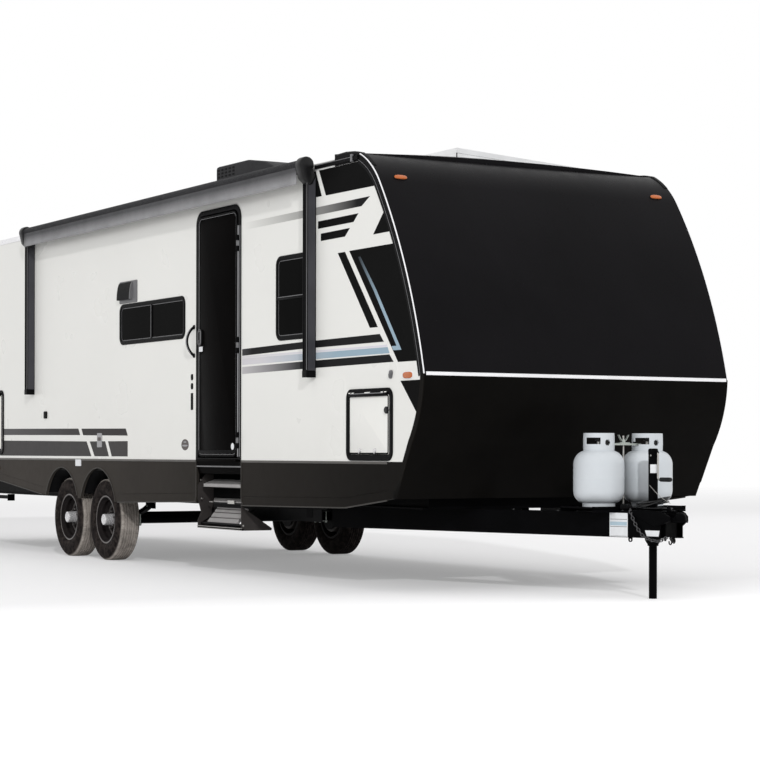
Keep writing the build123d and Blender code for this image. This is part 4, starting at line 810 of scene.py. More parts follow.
def nose_panel(node, line, inner, look):
    """The outline and the line inside it, closed and carried across with eased side edges."""
    whole, eased = np.concatenate([line, inner]), np.concatenate([inset(line, 0.0025), inner])
    if node == "nose_lower":
        eased[:2] = (CHIN_X, 0.6155), eased[1] + (0.0, 0.0015)
    levels = [(eased, -HALF), (whole, -HALF + 0.0025), *((whole, y) for y in np.linspace(-1.1, 1.1, 9)),
              (whole, HALF - 0.0025), (eased, HALF)]
    patch = Patch()
    stack(patch, levels)
    dress(patch, node + "_panel", look, covers=(node,), sharp=40.0)


def nose_edges():
    """Pale beads up the nose's corners, dark bands beside them with a thin grey line that is a painted highlight, caps
    on the brow's ends and grey mouldings below the seam."""
    brow = mm((900, 2912), (1020, 2924), (1160, 2922)) * (-1, 1) + (NOSE, 0.0)
    brow = np.concatenate([UPPER_LINE[UPPER_LINE[:, 1] > 2.79], brow])
    brow[:, 1] += np.interp(brow[:, 0], (at(1.16), at(0.86), at(0.66)), (0.0, 0.004, 0.0))
    cap = mm((22.5, -6), (22.5, -50), (-22, -50), (-22, -4), (-12, 4), (14, 4))
    band = mm((-1, -31.5), (3, -30.5), (4.2, -12), (3.4, 0), (4.2, 12), (3, 30.5), (-1, 31.5))
    moulding = mm((-1, -24), (4, -22), (4, 22), (-1, 24))
    for name, look, slot, line, section, out in (
            ("corner_caps", "moulded_black", "satin_black", brow, cap, -0.018),
            ("nose_beads", "bead_white", "cover_plastic", inset(UPPER_LINE, 0.0045),
             circle(sizes().bead, 10), 0.0005),
            ("nose_side_bands", "moulded_black", "satin_black", inset(UPPER_LINE, 0.041), band, 0.0005),
            # a thin grey line beside each band: a painted highlight
            ("nose_side_lines", "hinge_grey", "satin_black", inset(UPPER_LINE, 0.047),
             circle(0.0018, 8) + (0.0035, 0.0), 0.0005),
            ("nose_lower_mouldings", "skirt_charcoal", "charcoal", inset(LOWER_LINE[3:], 0.024), moulding, 0.0005)):
        patch = Patch()
        for side in (-1, 1):
            carry(patch, section * (side, 1), spread(line[:, 0], side * (HALF + out), line[:, 1]))
        dress(patch, name, look)


def nose_seam():
    """The pale trim over the seam between the panels, lying on the nose's foremost line."""
    patch = Patch()
    section = mm((-12, 2), (-10.5, -3.5), (10.5, -3.5), (12, 2))
    carry(patch, section, spread(NOSE - 0.0005, np.linspace(-HALF + 0.012, HALF - 0.012, 21), SEAM_Z), (0, 0, 1))
    dress(patch, "nose_seam_trim", "bead_white")


class CARAVAN_OT_nose(bpy.types.Operator):
    """Make the two smooth nose panels with their beads, mouldings and seam trim"""
    bl_idname = "caravan.nose"
    bl_label = "Nose"

    def execute(self, context):
        nose_panel("nose_upper", UPPER_LINE, inset(UPPER_LINE, NOSE_SKIN)[::-1], "nose_gloss")
        inner = np.concatenate([inset(LOWER_LINE, NOSE_SKIN)[::-1], [(CHIN_X, 0.658)]])
        inner[-2, 1] = 0.658
        line = np.concatenate([[(CHIN_X, 0.613)], LOWER_LINE])
        nose_panel("nose_lower", line, inner, "nose_texture")
        nose_edges()
        nose_seam()
        return {"FINISHED"}


# ---- wall graphics
DARK = (27, 27, 28)
# Stripes as (x, z) in millimetres, with the colours at their ends and where the change starts and stops
STRIPES = {
    "accent": (((-1606, 2211), (-1573, 2211), (-1362, 1978), (-1039, 1572), (-1140, 1572), (-1163, 1600),
                (-1100, 1600), (-1400, 1978)), (40, 41, 44), "stripe", -1.6, -1.3),
    "stripe_top_fade": (((-3318, 1668), (-2420, 1680), (-2420, 1632), (-3318, 1619)),
                        (70, 70, 72), DARK, -3.318, -3.16),
    "stripe_top": (((-2420, 1680), (-1317, 1686), (-1264, 1633), (-2420, 1632)), DARK, DARK, -3.0, -2.0),
    "stripe_low_fade": (((-3318, 1537), (-2420, 1544), (-2420, 1492), (-3318, 1486)),
                        (186, 184, 186), (60, 60, 62), -3.318, -2.46),
    "stripe_low": (((-2420, 1544), (-1192, 1548), (-1139, 1498), (-2420, 1492)), (30, 34, 36), DARK, -3.0, -2.0),
    "stripe_pale": (((-3318, 1600), (-1215, 1596), (-1191, 1556), (-3318, 1552)),
                    (206, 204, 208), "stripe", -3.0, -1.9),
    "stripe_pale_top": (((-3318, 1616), (-1226, 1612), (-1216, 1599), (-3318, 1602)),
                        (212, 210, 213), (214, 212, 220), -3.0, -1.9),
    "stripe_shade": (((-3318, 2591), (-1448, 2598), (-1560, 2543), (-3318, 2540)), "wall", (24, 24, 26), -3.3, -1.62),
    "stripe_rear": (((-8404, 1126), (-6470, 1112), (-6430, 1056), (-8404, 1068)),
                    (92, 91, 92), (66, 64, 64), -8.4, -6.6),
    "stripe_rear_end": (((-6400, 1111), (-5450, 1104), (-5410, 1046), (-6360, 1054)),
                        (60, 58, 58), (60, 58, 58), -6.4, -5.4),
}


class CARAVAN_OT_graphics(bpy.types.Operator):
    """Lay the stripes and dark fields on both side walls"""
    bl_idname = "caravan.graphics"
    bl_label = "Wall graphics"

    def execute(self, context):
        black = [
            np.concatenate([mm((-2049, 2664), (-1387, 2660)), front_edge(2.665, 2.845)[1:], mm((-2148, 2845))]),
            mm((-2300, 2667), (-2108, 2666), (-2194, 2845), (-2380, 2845)),
            np.concatenate([mm((-1405, 2342)), front_edge(2.344, 2.497)]),
            np.concatenate([mm((-1083, 1495)), front_edge(1.495, 2.262), mm((-1723, 2260))]),
            mm((-1445, 1732), (-1342, 1732), (-1782, 2258), (-1881, 2258)),
            np.concatenate([mm((-1052, 1373)), front_edge(1.166, 1.374)[::-1]]),
        ]
        grey = [mm((-8404, 1016), (-8404, 875), (-6178, 875), (-6285, 1001)),
                mm((-6215, 1001), (-6108, 875), (-5800, 875), (-5880, 1001)),
                mm((-5820, 1001), (-5740, 875), (-5410, 875), (-5410, 1001))]
        bars = [mm((-2160, 2497), (-1600, 2500), (-1668, 2448), (-2160, 2446)),
                mm((-2120, 2410), (-1715, 2413), (-1783, 2361), (-2120, 2359))]
        proud = sizes().decal_proud
        fades = {name: faded("stripe_accent" if name == "accent" else name, as_shader(start), as_shader(end), *places)
                 for name, (_, start, end, *places) in STRIPES.items()}
        for side, hand in ((-1, "right"), (1, "left")):
            decals = [("fields", black, "stripe_black", "satin_black"), ("bars", bars, "stripe_black", "satin_black"),
                      ("bands", grey, "band_grey", "charcoal")]
            decals += [(name, [mm(*stripe[0])], fades[name], "charcoal") for name, stripe in STRIPES.items()]
            for name, outlines, look, slot in decals:
                patch = Patch()
                for outline in outlines:
                    slab(patch, outline, side * (HALF - 0.001), side * (HALF + proud * (2 if name == "accent" else 1)))
                dress(patch, f"{name}_{hand}", look)
        return {"FINISHED"}


# ---- windows
JAMB = 0.012
# Side windows: front edge back, rear edge back, low z, high z, side, divider
WINDOWS = ((3.566, 4.795, 1.812, 2.103, -1, "upright"), (1.546, 2.000, 1.724, 2.281, -1, "level"),
           (1.546, 2.000, 1.724, 2.281, 1, "level"), (3.5, 5.000, 1.56, 2.12, 1, "upright"),
           (6.1, 6.6, 1.812, 2.103, 1, "none"), (7.4, 8.1, 1.56, 2.12, 1, "upright"))


def grown(low, high, radius, amount):
    """A rounded rectangle grown all round by an amount."""
    return oblong((low[0] - amount, low[1] - amount), (high[0] + amount, high[1] + amount), radius + amount)


def border(low, high, radius, face, way, *section):
    """Rounded rectangles grown by millimetres and set out from a face by millimetres: (outline, depth)."""
    return [(grown(low, high, radius, grow), face + way * out) for grow, out in mm(*section)]


def add_window(frames, lines, panes, low, high, face, way, plane, divider):
    """One window: a rounded ring from the wall out over its lip and back in to the pane."""
    ring(frames, border(low, high, 0.045, face, way, (22, 0), (21, 4), (17, 7.2), (10, 8), (-4, 7.4), (-10, 5.5),
                        (-12, 2), (-12, -51), (0, -51), (0, 0)), plane)
    ring(lines, border(low, high, 0.045, face, way, (-12.5, -3), (-12.5, 0.5), (-16.5, 0.5), (-16.5, -3)), plane)
    slab(panes, grown(low, high, 0.045, -JAMB), face - way * 0.0055, face - way * 0.001, plane)
    if divider == "none":
        return
    (x0, z0), (x1, z1) = low, high
    x, z = (x0 + x1) / 2, (z0 + z1) / 2
    bar, line = {"upright": (((x - 0.013, z0 + 0.006), (x + 0.013, z1 - 0.006)),
                             ((x - 0.003, z0 + 0.014), (x + 0.002, z1 - 0.014))),
                 "level": (((x0 + 0.006, z - 0.013), (x1 - 0.006, z + 0.013)),
                           ((x0 + 0.014, z + 0.005), (x1 - 0.014, z + 0.009)))}[divider]
    pillow(frames, *bar, 0.002, face - way * 0.002, face + way * 0.0065, 0.002, plane)
    slab(lines, oblong(*line, 0.001), face, face + way * 0.0075, plane)


class CARAVAN_OT_windows(bpy.types.Operator):
    """Make the moulded window frames, their bright inner lines, dividers and dark panes"""
    bl_idname = "caravan.windows"
    bl_label = "Windows"

    def execute(self, context):
        patches = frames, lines, panes = Patch(), Patch(), Patch()
        for front, rear, low_z, high_z, side, divider in WINDOWS:
            add_window(*patches, (at(rear), low_z), (at(front), high_z), side * HALF, side, "side", divider)
        add_window(*patches, (-0.42, 1.56), (0.42, 2.12), REAR, -1, "cross", "none")
        dress(frames, "window_surrounds", "frame_black", covers=("window_frames",))
        dress(lines, "window_lines", "hinge_grey")
        dress(panes, "window_panes", "glass_dark", covers=("window_glass",))
        return {"FINISHED"}


# ---- entry door
HINGE_X = at(2.598)
LATCH_X = at(3.316) + 0.024


def door_handle():
    """A slim bow that leaves the wall at its two feet: out = 66 mm times a power of the half sine of its rise."""
    bow, line, feet = patches(3)
    x, low, high = at(3.385), 1.652, 1.87
    share = np.linspace(0, 1, 29)
    path = spread(x, -HALF + 0.004 - 0.066 * np.sin(pi * share) ** 0.62, low + (high - low) * share)
    tube(bow, path, 0.0105, 14, (1, 0, 0))
    # a thin grey line along the bow: a painted highlight
    tube(line, path[2:-2] + (0.004, -0.0085, 0.0), 0.0034, 8, (1, 0, 0))
    for z in (low, high):
        lathe(feet, mm((0, -9), (14, -8), (18, -3), (18, 1)), (x, -HALF, z), "y", 20)
    dress(bow, "handle_bow", "moulded_black", covers=("grab_handle",))
    dress(line, "handle_line", "line_grey")
    dress(feet, "handle_feet", "moulded_black")


class CARAVAN_OT_entry(bpy.types.Operator):
    """Make the entry door with its moulding, latch and labels, its hinge strip, sill and bowed handle"""
    bl_idname = "caravan.entry"
    bl_label = "Entry door"

    def execute(self, context):
        low, high, face = (LATCH_X, 0.877), (HINGE_X - 0.024, 2.698), -HALF - 0.012
        leaf, edge, lines, knuckles, latch, label, strip, sill, groove = patches(9)
        stack(leaf, border(low, high, 0.061, face, 1, (0, 42), (0, 3), (-1, 1), (-3, 0)))
        for z in (1.0, 1.7, 2.45):
            rod(knuckles, (HINGE_X - 0.012, -1.239, z - 0.03), (HINGE_X - 0.012, -1.239, z + 0.03), 0.0055, 16)
        ring(edge, border(low, high, 0.061, face, -1, (-4, -1), (-4.5, 4), (-14, 5), (-18, 0), (-18, -1)))
        pillow(edge, (low[0] + 0.016, 0.907), (high[0] - 0.016, 0.927), 0.002, face, face - 0.004, 0.001)
        # a thin grey ring inside the moulding: a painted highlight on its rounded edge
        ring(lines, border(low, high, 0.061, face, -1, (-18.5, -1), (-18.5, 2.2), (-20.5, 2.2), (-20.5, -1)))
        x, z = low[0] + 0.045, 1.785
        plate = (x - 0.012, z - 0.045), (x + 0.012, z + 0.045), 0.0119
        stack(latch, border(*plate, face, -1, (16, -1), (16, 9), (13, 12), (4, 12), (2, 6)))
        pillow(latch, (x - 0.01, z - 0.02), (x + 0.01, z + 0.038), 0.008, face - 0.005, face - 0.02, 0.003)
        rod(latch, (x, face, z - 0.036), (x, face - 0.016, z - 0.036), 0.007, 16)
        # two grey rings round the latch plate: painted highlights on its edges
        for grow in (14.5, 3):
            ring(lines, border(*plate, face, -1, (grow, 10), (grow, 13.5), (grow - 1.8, 13.5), (grow - 1.8, 10)))
        slab(label, oblong((x - 0.036, 1.676), (x + 0.036, 1.714), 0.003), face + 0.0005, face - 0.0015)
        slab(label, oblong((high[0] - 0.098, 0.93), (high[0] - 0.048, 0.98), 0.024), face + 0.0005, face - 0.001)
        for start, end, out in ((-0.012, -0.009, 0.0165), (0.01, 0.014, 0.0095)):
            pillow(strip, (HINGE_X + start, 0.88), (HINGE_X + end, 2.58), 0.001, -HALF - 0.006, -HALF - out, 0.0005)
        box(sill, (at(3.316) + 0.016, -HALF - 0.028, 0.842), (HINGE_X - 0.016, -HALF + 0.01, 0.86), 0.003)
        slab(sill, mm((1, 853), (1, 842), (20, 750), (26.5, 750), (26.5, 853)) - (HALF, 0.0),
             WELL_REAR + 0.001, WELL_FRONT - 0.001, "cross")
        slab(groove, mm((4, 811), (-1, 809), (-1, 801), (6, 799)) - (HALF, 0.0),
             WELL_REAR + 0.003, WELL_FRONT - 0.003, "cross")
        dress(leaf, "door_leaf", "door_gloss", "entry_door", ("entry_door",))
        dress(knuckles, "door_knuckles", "hinge_grey", "entry_door")
        dress(latch, "door_latch", "rubber_black", "entry_door")
        dress(lines, "door_lines", "line_grey", "entry_door")
        dress(edge, "door_moulding", "frame_black", "entry_door")
        dress(label, "door_labels", "label_white", "entry_door")
        dress(strip, "hinge_strip", "line_grey")
        dress(sill, "door_sill", "door_gloss")
        dress(groove, "sill_strip", "hinge_grey")
        door_handle()
        return {"FINISHED"}


# ---- luggage bays
BAYS = {"front_right": (0.41, 0.971, 0.88, 1.311, -1), "front_left": (0.41, 0.971, 0.88, 1.311, 1),
        "rear_right": (7.563, 8.403, 0.907, 1.464, -1)}


def bay_door(name, low, high, side):
    """One door: its leaf with three hinges, a bright line on its top edge that is a painted highlight, two latches and
    a knob.
    """
    (x0, z0), (x1, z1) = low, high
    outer, body = side * (HALF + 0.008), f"bay_door_{name}"
    leaf, rim, line, latches, knob = patches(5)
    stack(leaf, border(low, high, 0.04, outer, -side, (-20, 30), (-20, 2), (-20.6, 0.6), (-22, 0)))
    for share in (0.12, 0.5, 0.88):
        x, y = x0 + (x1 - x0) * share, side * (HALF + 0.016)
        rod(leaf, (x - 0.035, y, z1 - 0.006), (x + 0.035, y, z1 - 0.006), 0.005, 12)
        box(leaf, (x - 0.035, outer - side * 0.004, z1 - 0.024), (x + 0.035, outer + side * 0.01, z1 - 0.008))
    ring(rim, border(low, high, 0.04, outer, side, (-20.5, -1), (-21, 1.5), (-24, 2.6), (-31, 1.8), (-31.5, -1)))
    for patch, start, end, radius, base, top, soft in (
            (rim, (x0 + 0.03, z1 - 0.03), (x1 - 0.03, z1 - 0.002), 0.004, -0.001, 0.0125, 0.004),
            # the bright line on the top edge is a painted highlight
            (line, (x0 + 0.05, z1 - 0.012), (x1 - 0.07, z1 - 0.0085), 0.001, 0.0115, 0.0136, 0.0005)):
        pillow(patch, start, end, radius, outer + side * base, outer + side * top, soft)
    z = z0 + 0.046
    for x in (x0 + 0.17, x1 - 0.19):
        lathe(latches, mm((0, 10), (10, 10), (13, 8), (14, 0)) * (1, side), (x, outer, z), "y", 20)
        pillow(latches, (x - 0.004, z - 0.02), (x + 0.004, z + 0.01), 0.003,
               outer + side * 0.008, outer + side * 0.0138, 0.002)
    dress(leaf, f"bay_leaf_{name}", "bay_skin", body, (body,))
    dress(rim, f"bay_border_{name}", "frame_black", body)
    dress(line, f"bay_line_{name}", "line_grey", body)
    dress(latches, f"bay_latches_{name}", "chrome", body)
    if name != "rear_right":
        lathe(knob, mm((0, 14), (18, 13), (23, 9), (24, -2)) * (1, side), (x1 - 0.043, outer, 1.188), "y", 24)
        dress(knob, f"bay_knob_{name}", "rubber_black", body)


def bay_catch(patch, x, z, side):
    """A leaning plate on the wall with a turned stud."""
    lean, face = radians(-18), side * HALF
    turned = oblong((-0.019, -0.028), (0.019, 0.028), 0.0185) @ ((cos(lean), sin(lean)), (-sin(lean), cos(lean)))
    slab(patch, turned + (x, z), face - side * 0.001, face + side * 0.01)
    lathe(patch, mm((0, 22), (8, 21), (11, 16), (11, 0)) * (1, side), (x + 0.004, face, z - 0.002), "y", 16)


class CARAVAN_OT_bays(bpy.types.Operator):
    """Make the luggage bay doors with their dark rims, latches and knobs, and the catches that hold them"""
    bl_idname = "caravan.bays"
    bl_label = "Luggage bays"

    def execute(self, context):
        rims, catches = patches(2)
        for name, (front, rear, low_z, high_z, side) in BAYS.items():
            low, high = (at(rear), low_z), (at(front), high_z)
            ring(rims, border(low, high, 0.04, side * HALF, side, (23, 0), (22, 6), (18, 9.5), (8, 9.5), (-8, 8.5),
                              (-16.5, 6), (-17.5, 1), (-11.5, 1), (-11.5, 0)))
            bay_door(name, low, high, side)
            if name != "rear_right":
                bay_catch(catches, at(0.411), 1.418, side)
        dress(rims, "bay_surrounds", "frame_black")
        dress(catches, "bay_catches", "vent_grey")
        return {"FINISHED"}


# ---- awning
ARMS_BACK = (1.431, 6.754)
ROLL_Y, ROLL_Z = -HALF - 0.074, 2.888


def awning_arm(metal, heads, dark, lines, x):
    """One arm on the wall: its folded channel, the dark insert, a foot and the rounded head."""
    channel = mm((0, 0), (0, -10), (-1.5, -12), (-1.5, -56), (0, -58), (0, -62.5), (-66, -62.5), (-66, 0))
    insert = mm((-1, -62), (-1, -69), (-4, -72), (-14, -72), (-16, -67), (-50, -67), (-52, -72), (-62, -72),
                (-66, -68), (-66, -62))
    slab(metal, channel + (x, -HALF), 1.44, 2.8, "flat")
    slab(dark, insert + (x, -HALF), 1.44, 2.8, "flat")
    box(dark, (x - 0.068, -HALF - 0.0735, 1.428), (x + 0.002, -HALF, 1.475), 0.003)
    # a thin grey line on the arm's outer edge: a painted highlight
    slab(lines, oblong((x - 0.0045, -HALF - 0.0728), (x + 0.0006, -HALF - 0.0705), 0.001), 1.478, 2.77, "flat")
    slab(dark, oblong((x - 0.002, -HALF - 0.006), (x + 0.0012, -HALF - 0.0005), 0.001), 1.478, 2.79, "flat")
    round_top = (ROLL_Y, ROLL_Z) + polar(0.054, np.linspace(radians(-28), radians(205), 30))
    foot = [(ROLL_Y - 0.03, 2.79), (-HALF - 0.056, 2.744), (-HALF - 0.03, 2.752), (-HALF - 0.004, 2.8)]
    outline = np.concatenate([round_top, foot])
    centre = outline.mean(0)
    half = ((0.86, 0.042), (0.95, 0.038), (1.0, 0.03))
    stack(heads, [(centre + (outline - centre) * share, x - 0.033 + way * out)
                  for way, part in ((1, half), (-1, half[::-1])) for share, out in part], "cross")


class CARAVAN_OT_awning(bpy.types.Operator):
    """Make the awning's channelled arms, its rounded heads, rail and rolled cloth, a hem that is a painted shadow and
    thin lines that are painted highlights
    """
    bl_idname = "caravan.awning"
    bl_label = "Awning"

    def execute(self, context):
        metal, heads, dark, lines, cloth, shadow_valance = patches(6)
        for back in ARMS_BACK:
            awning_arm(metal, heads, dark, lines, at(back))
        start, end = at(ARMS_BACK[1]) + 0.009, at(ARMS_BACK[0]) - 0.075
        turn = around(64)
        section = polar(0.0395 + 0.0022 * (turn / (2 * pi)), turn + 2.2)
        carry(cloth, section, spread(np.linspace(start, end, 40), ROLL_Y, ROLL_Z))
        dress(cloth, "awning_cloth_roll", "awning_cloth", covers=("awning_roller",))
        rail = mm((0, -46), (-12, -46), (-14, -22), (-26, -18), (-26, -8), (-12, -4), (0, -1))
        slab(metal, rail + (-HALF, RAIL_Z), start, end, "cross")
        lead = mm((0, -40), (-12, -38), (-14, -12), (0, -6))
        slab(dark, lead + (-HALF, RAIL_Z), at(ARMS_BACK[0]), at(0.84), "cross")
        low, high = RAIL_Z - 0.046, RAIL_Z + 0.004
        # a grey rod along the lead rail is a painted highlight; the small box is the rail's end fitting
        rod(lines, (at(1.441), -HALF - 0.0165, RAIL_Z - 0.016), (at(0.93), -HALF - 0.0165, RAIL_Z - 0.016), 0.0022, 8)
        box(lines, (at(0.925), -HALF - 0.02, low), (at(0.905), -HALF, high), 0.002)
        # a pale hem below the roll, graded dark towards it: a sheet that stands for the roll's shadow on the wall, a
        # painted shadow
        across, drop = np.linspace(start + 0.01, end - 0.01, 60)[:, None], np.linspace(0, 1, 5)
        sway = 0.0015 * np.sin(across * 5.0) * drop
        sheet(shadow_valance, spread(across, ROLL_Y - 0.036 + sway, ROLL_Z - 0.012 - 0.12 * drop))
        hem = thicken(dress(shadow_valance, "awning_hem", "awning_hem"), 0.002)
        hem.data.shade_smooth()
        dress(metal, "awning_arms", "awning_metal", covers=("awning_frame",))
        dress(heads, "awning_heads", "rubber_black", sharp=50.0)
        dress(dark, "awning_channels", "moulded_black")
        dress(lines, "awning_lines", "hinge_grey")
        return {"FINISHED"}


# ---- skirts
# The skirt's foot as (back, z), from the front to the rear, and where the axles stand
FOOT = mm((389, 613), (1020, 545), (2530, 525), (3400, 535), (4880, 500), (6470, 526), (7645, 645), (9450, 700))
AXLES_BACK = {"front": 5.234, "rear": 6.049}
ARCH_Z = 0.378


def foot_z(x):
    """Height of the skirt's foot."""
    return np.interp(x, NOSE - FOOT[::-1, 0], FOOT[::-1, 1])


class CARAVAN_OT_skirts(bpy.types.Operator):
    """Add the skirt's top trim, its crease, the arch and door-well edge trims and a blank label"""
    bl_idname = "caravan.skirts"
    bl_label = "Skirt trims"

    def execute(self, context):
        rails, edges, labels, creases, liner = patches(5)
        rail, arch = mm((-1, -9), (3, -8), (4, 6), (0, 9)), mm((-2, -6), (5, -5), (5, 3), (-2, 4))
        hem, crease = mm((-2, -1), (4, -1), (4, 7), (-2, 8)), mm((-2, -4), (2.2, -1), (-2, 2))
        reach = radians(90 + 14)
        for side in (-1, 1):
            door = side < 0
            for low, high in ((9.448, 3.343 if door else 5.0), (2.572 if door else 5.0, 0.46)):
                carry(rails, rail * (side, 1), spread(np.linspace(at(low), at(high), 24), side * HALF, BELT_Z - 0.008))
            for axle in AXLES_BACK.values():
                arc = (at(axle + 0.05), ARCH_Z) + polar(0.4, np.linspace(pi / 2 - reach, pi / 2 + reach, 40))
                arc = arc[arc[:, 1] > foot_z(arc[:, 0])]
                carry(edges, arch * (side, 1), spread(arc[:, 0], side * HALF, arc[:, 1]))
            for low, high in ((2.575, 0.46), (4.86, 3.345), (9.44, 6.56)) if door else ((4.86, 0.46), (9.44, 6.56)):
                x = np.linspace(at(low), at(high), 24)
                for patch, section, lift in ((edges, hem, 0.0), (creases, crease, 0.062)):
                    carry(patch, section * (side, 1), spread(x, side * HALF, foot_z(x) + lift))
        for x, way in ((WELL_FRONT, 1), (WELL_REAR, -1)):
            path = mm((0, 852), (0, 600), (0, 575), (way * 12, 545), (way * 30, 532)) + (x, 0.0)
            carry(edges, mm((2, -4), (-5, -3), (-5, 3), (2, 4)), spread(path[:, 0], -HALF, path[:, 1]))
        for side in (-1, 1):
            for axle in AXLES_BACK.values():
                arc = polar(0.409, np.linspace(radians(25), radians(155), 40)) + (at(axle + 0.05), ARCH_Z)
                across = np.array([[side * (HALF - 0.026)], [side * 0.93]])
                sheet(liner, spread(arc[:, 0], across, arc[:, 1]))
        thicken(dress(liner, "wheel_liners", "moulded_black"), 0.003)
        slab(labels, oblong((-6.527, 0.79), (-6.405, 0.847), 0.003), -HALF + 0.001, -HALF - 0.0045)
        dress(rails, "skirt_rails", "skirt_edge")
        dress(edges, "skirt_edges", "edge_dark")
        dress(creases, "skirt_creases", "skirt_charcoal")
        dress(labels, "skirt_label", "label_white")
        return {"FINISHED"}


# ---- wheels
TYRE_Y = 1.085
AXLE_Z = 0.342
BLOCK_STEPS = 6
# Depth of the notches across the tread's shoulders and across its ribs
SHOULDER_NOTCH, RIB_NOTCH = 0.0045, 0.0025
# The disc's slots: first and last row of its mesh, columns from one to the next, columns open
SLOT_FIRST, SLOT_LAST, SLOT_PITCH, SLOT_OPEN = 6, 8, 12, 5
NUT_CIRCLE = 0.07
# Half of the tyre's profile as (radius, across), from its bead over the side wall and the tread to the middle
SIDE_WALL = mm((191, 62), (196, 72), (206, 83), (222, 93), (243, 100.2), (264, 102.2), (285, 99.5), (304, 94),
               (318, 88.5), (328, 83), (334.5, 78.5), (338.5, 74.5))
TREAD = mm((341, 70), (341.5, 58), (334, 57), (334, 50), (342, 49), (342, 36), (334, 35), (334, 27.5), (342, 26.5),
           (342, 13.5), (334, 12.5), (334, 4.5), (342, 3.5))
# Profiles of the wheel's parts as (radius, outwards), and the dish as well
RIM = mm((201.8, 82), (201.8, 78.5), (190.5, 78.5), (190.5, 62), (172, 52), (172, -52), (190.5, -62), (190.5, -78.5),
         (201.8, -78.5), (201.8, -82), (186, -82), (168, -55), (168, 48), (178, 58), (186, 81), (201.8, 82))
DISH = mm((0, 12), (40, 12), (56, 12), (66, 16), (80, 20), (96, 14), (110, 2), (122, -4), (134, -6), (146, -4),
          (158, 6), (168, 18), (170, 20))
RIM_EDGE = mm((202.2, 81.5), (202, 82.5), (194, 82.8), (188.5, 80), (190.5, 78.5), (202.2, 81.5))
NUT = mm((10.5, 0), (10.5, 14), (8, 17.5), (8, 23), (0, 23.5))
HUB_CAP = mm((51, 6), (51.5, 12), (49, 16), (47.5, 60), (47.5, 94), (45, 101), (38, 104.5), (36, 104.5), (34, 101),
             (32, 100), (10, 100), (0, 100))
DRUM = mm((30, -84.5), (136, -84.5), (139.5, -82), (139.5, -40), (137, -38), (137, -28), (139.5, -26), (139.5, -4),
          (134, 4), (30, 4), (30, -84.5))


def add_tyre(name, centre):
    """Profile turned about the axle; the tread's radius falls in grooves round it and notches across it."""
    patch = Patch()
    turn = around(sizes().tread_blocks * BLOCK_STEPS)
    right = np.concatenate([SIDE_WALL, TREAD])
    profile = np.concatenate([right, right[::-1] * (1, -1)])
    radius, wide = np.repeat(profile[:, :1], len(turn), 1), np.abs(profile[:, 1])
    step = np.arange(len(turn)) % BLOCK_STEPS
    radius[np.ix_((profile[:, 0] > 0.3285) & (wide > 0.056), step == 0)] -= SHOULDER_NOTCH
    radius[np.ix_((profile[:, 0] > 0.34) & (wide < 0.056), step == BLOCK_STEPS // 2)] -= RIB_NOTCH
    sheet(patch, spread(radius * np.cos(turn), profile[:, 1:], radius * np.sin(turn)) + centre, close_cols=True)
    lathe(patch, mm((191, 62), (191, -62)), centre, "y", len(turn))
    dress(patch, f"tyre_{name}_tread", "tyre_rubber", f"wheel_{name}", (f"tyre_{name}",), 35.0)


def add_wheel(name, centre, side):
    """Rim, dished disc with slots, six nuts, drum and a chromed cap, all turned about the axle."""
    body = f"wheel_{name}"
    rim, disc, edge, cap, drum = patches(5)
    lathe(rim, RIM * (1, side), centre, "y", 72)
    cols, turn = 96, around(96)
    grid = spread(DISH[:, :1] * np.cos(turn), side * DISH[:, 1:], DISH[:, :1] * np.sin(turn)) + centre
    faces = cells(len(DISH), cols, close_cols=True)
    row, col = np.divmod(np.arange(len(faces)), cols)
    disc.add(grid, [faces[(row < SLOT_FIRST) | (row > SLOT_LAST) | (col % SLOT_PITCH >= SLOT_OPEN)]])
    # the rim's lip in a light grey stands for a highlight: painted highlight
    lathe(edge, RIM_EDGE * (1, side), centre, "y", 72)
    for angle in around(6) + 0.3:
        spot = centre + (NUT_CIRCLE * cos(angle), side * 0.018, NUT_CIRCLE * sin(angle))
        lathe(edge, NUT * (1, side), spot, "y", 6)
    lathe(cap, HUB_CAP * (1, side), centre, "y", 48)
    lathe(drum, DRUM * (1, side), centre, "y", 60)
    thicken(dress(disc, f"disc_{name}", "wheel_steel", body), 0.005)
    dress(rim, f"rim_{name}", "wheel_steel", body, (f"wheel_{name}",))
    dress(edge, f"rim_edge_{name}", "rim_edge", body)
    dress(cap, f"hub_cap_{name}", "chrome", body)
    dress(drum, f"brake_drum_{name}", "brake_iron", body)


class CARAVAN_OT_wheels(bpy.types.Operator):
    """Make the treaded tyres and the vented steel wheels with their nuts and long hub caps"""
    bl_idname = "caravan.wheels"
    bl_label = "Wheels"

    def execute(self, context):
        for axle, back in AXLES_BACK.items():
            for hand, side in (("right", -1), ("left", 1)):
                centre = np.array([at(back), side * TYRE_Y, AXLE_Z])
                add_tyre(f"{axle}_{hand}", centre)
                add_wheel(f"{axle}_{hand}", centre, side)
        return {"FINISHED"}


# ---- gas bottles
BOTTLE_X = -0.312
BOTTLE_Y = 0.192
TRAY_Z = 0.563
BAR_Z = TRAY_Z + 0.404
BOTTLE_TOP = TRAY_Z + 0.366


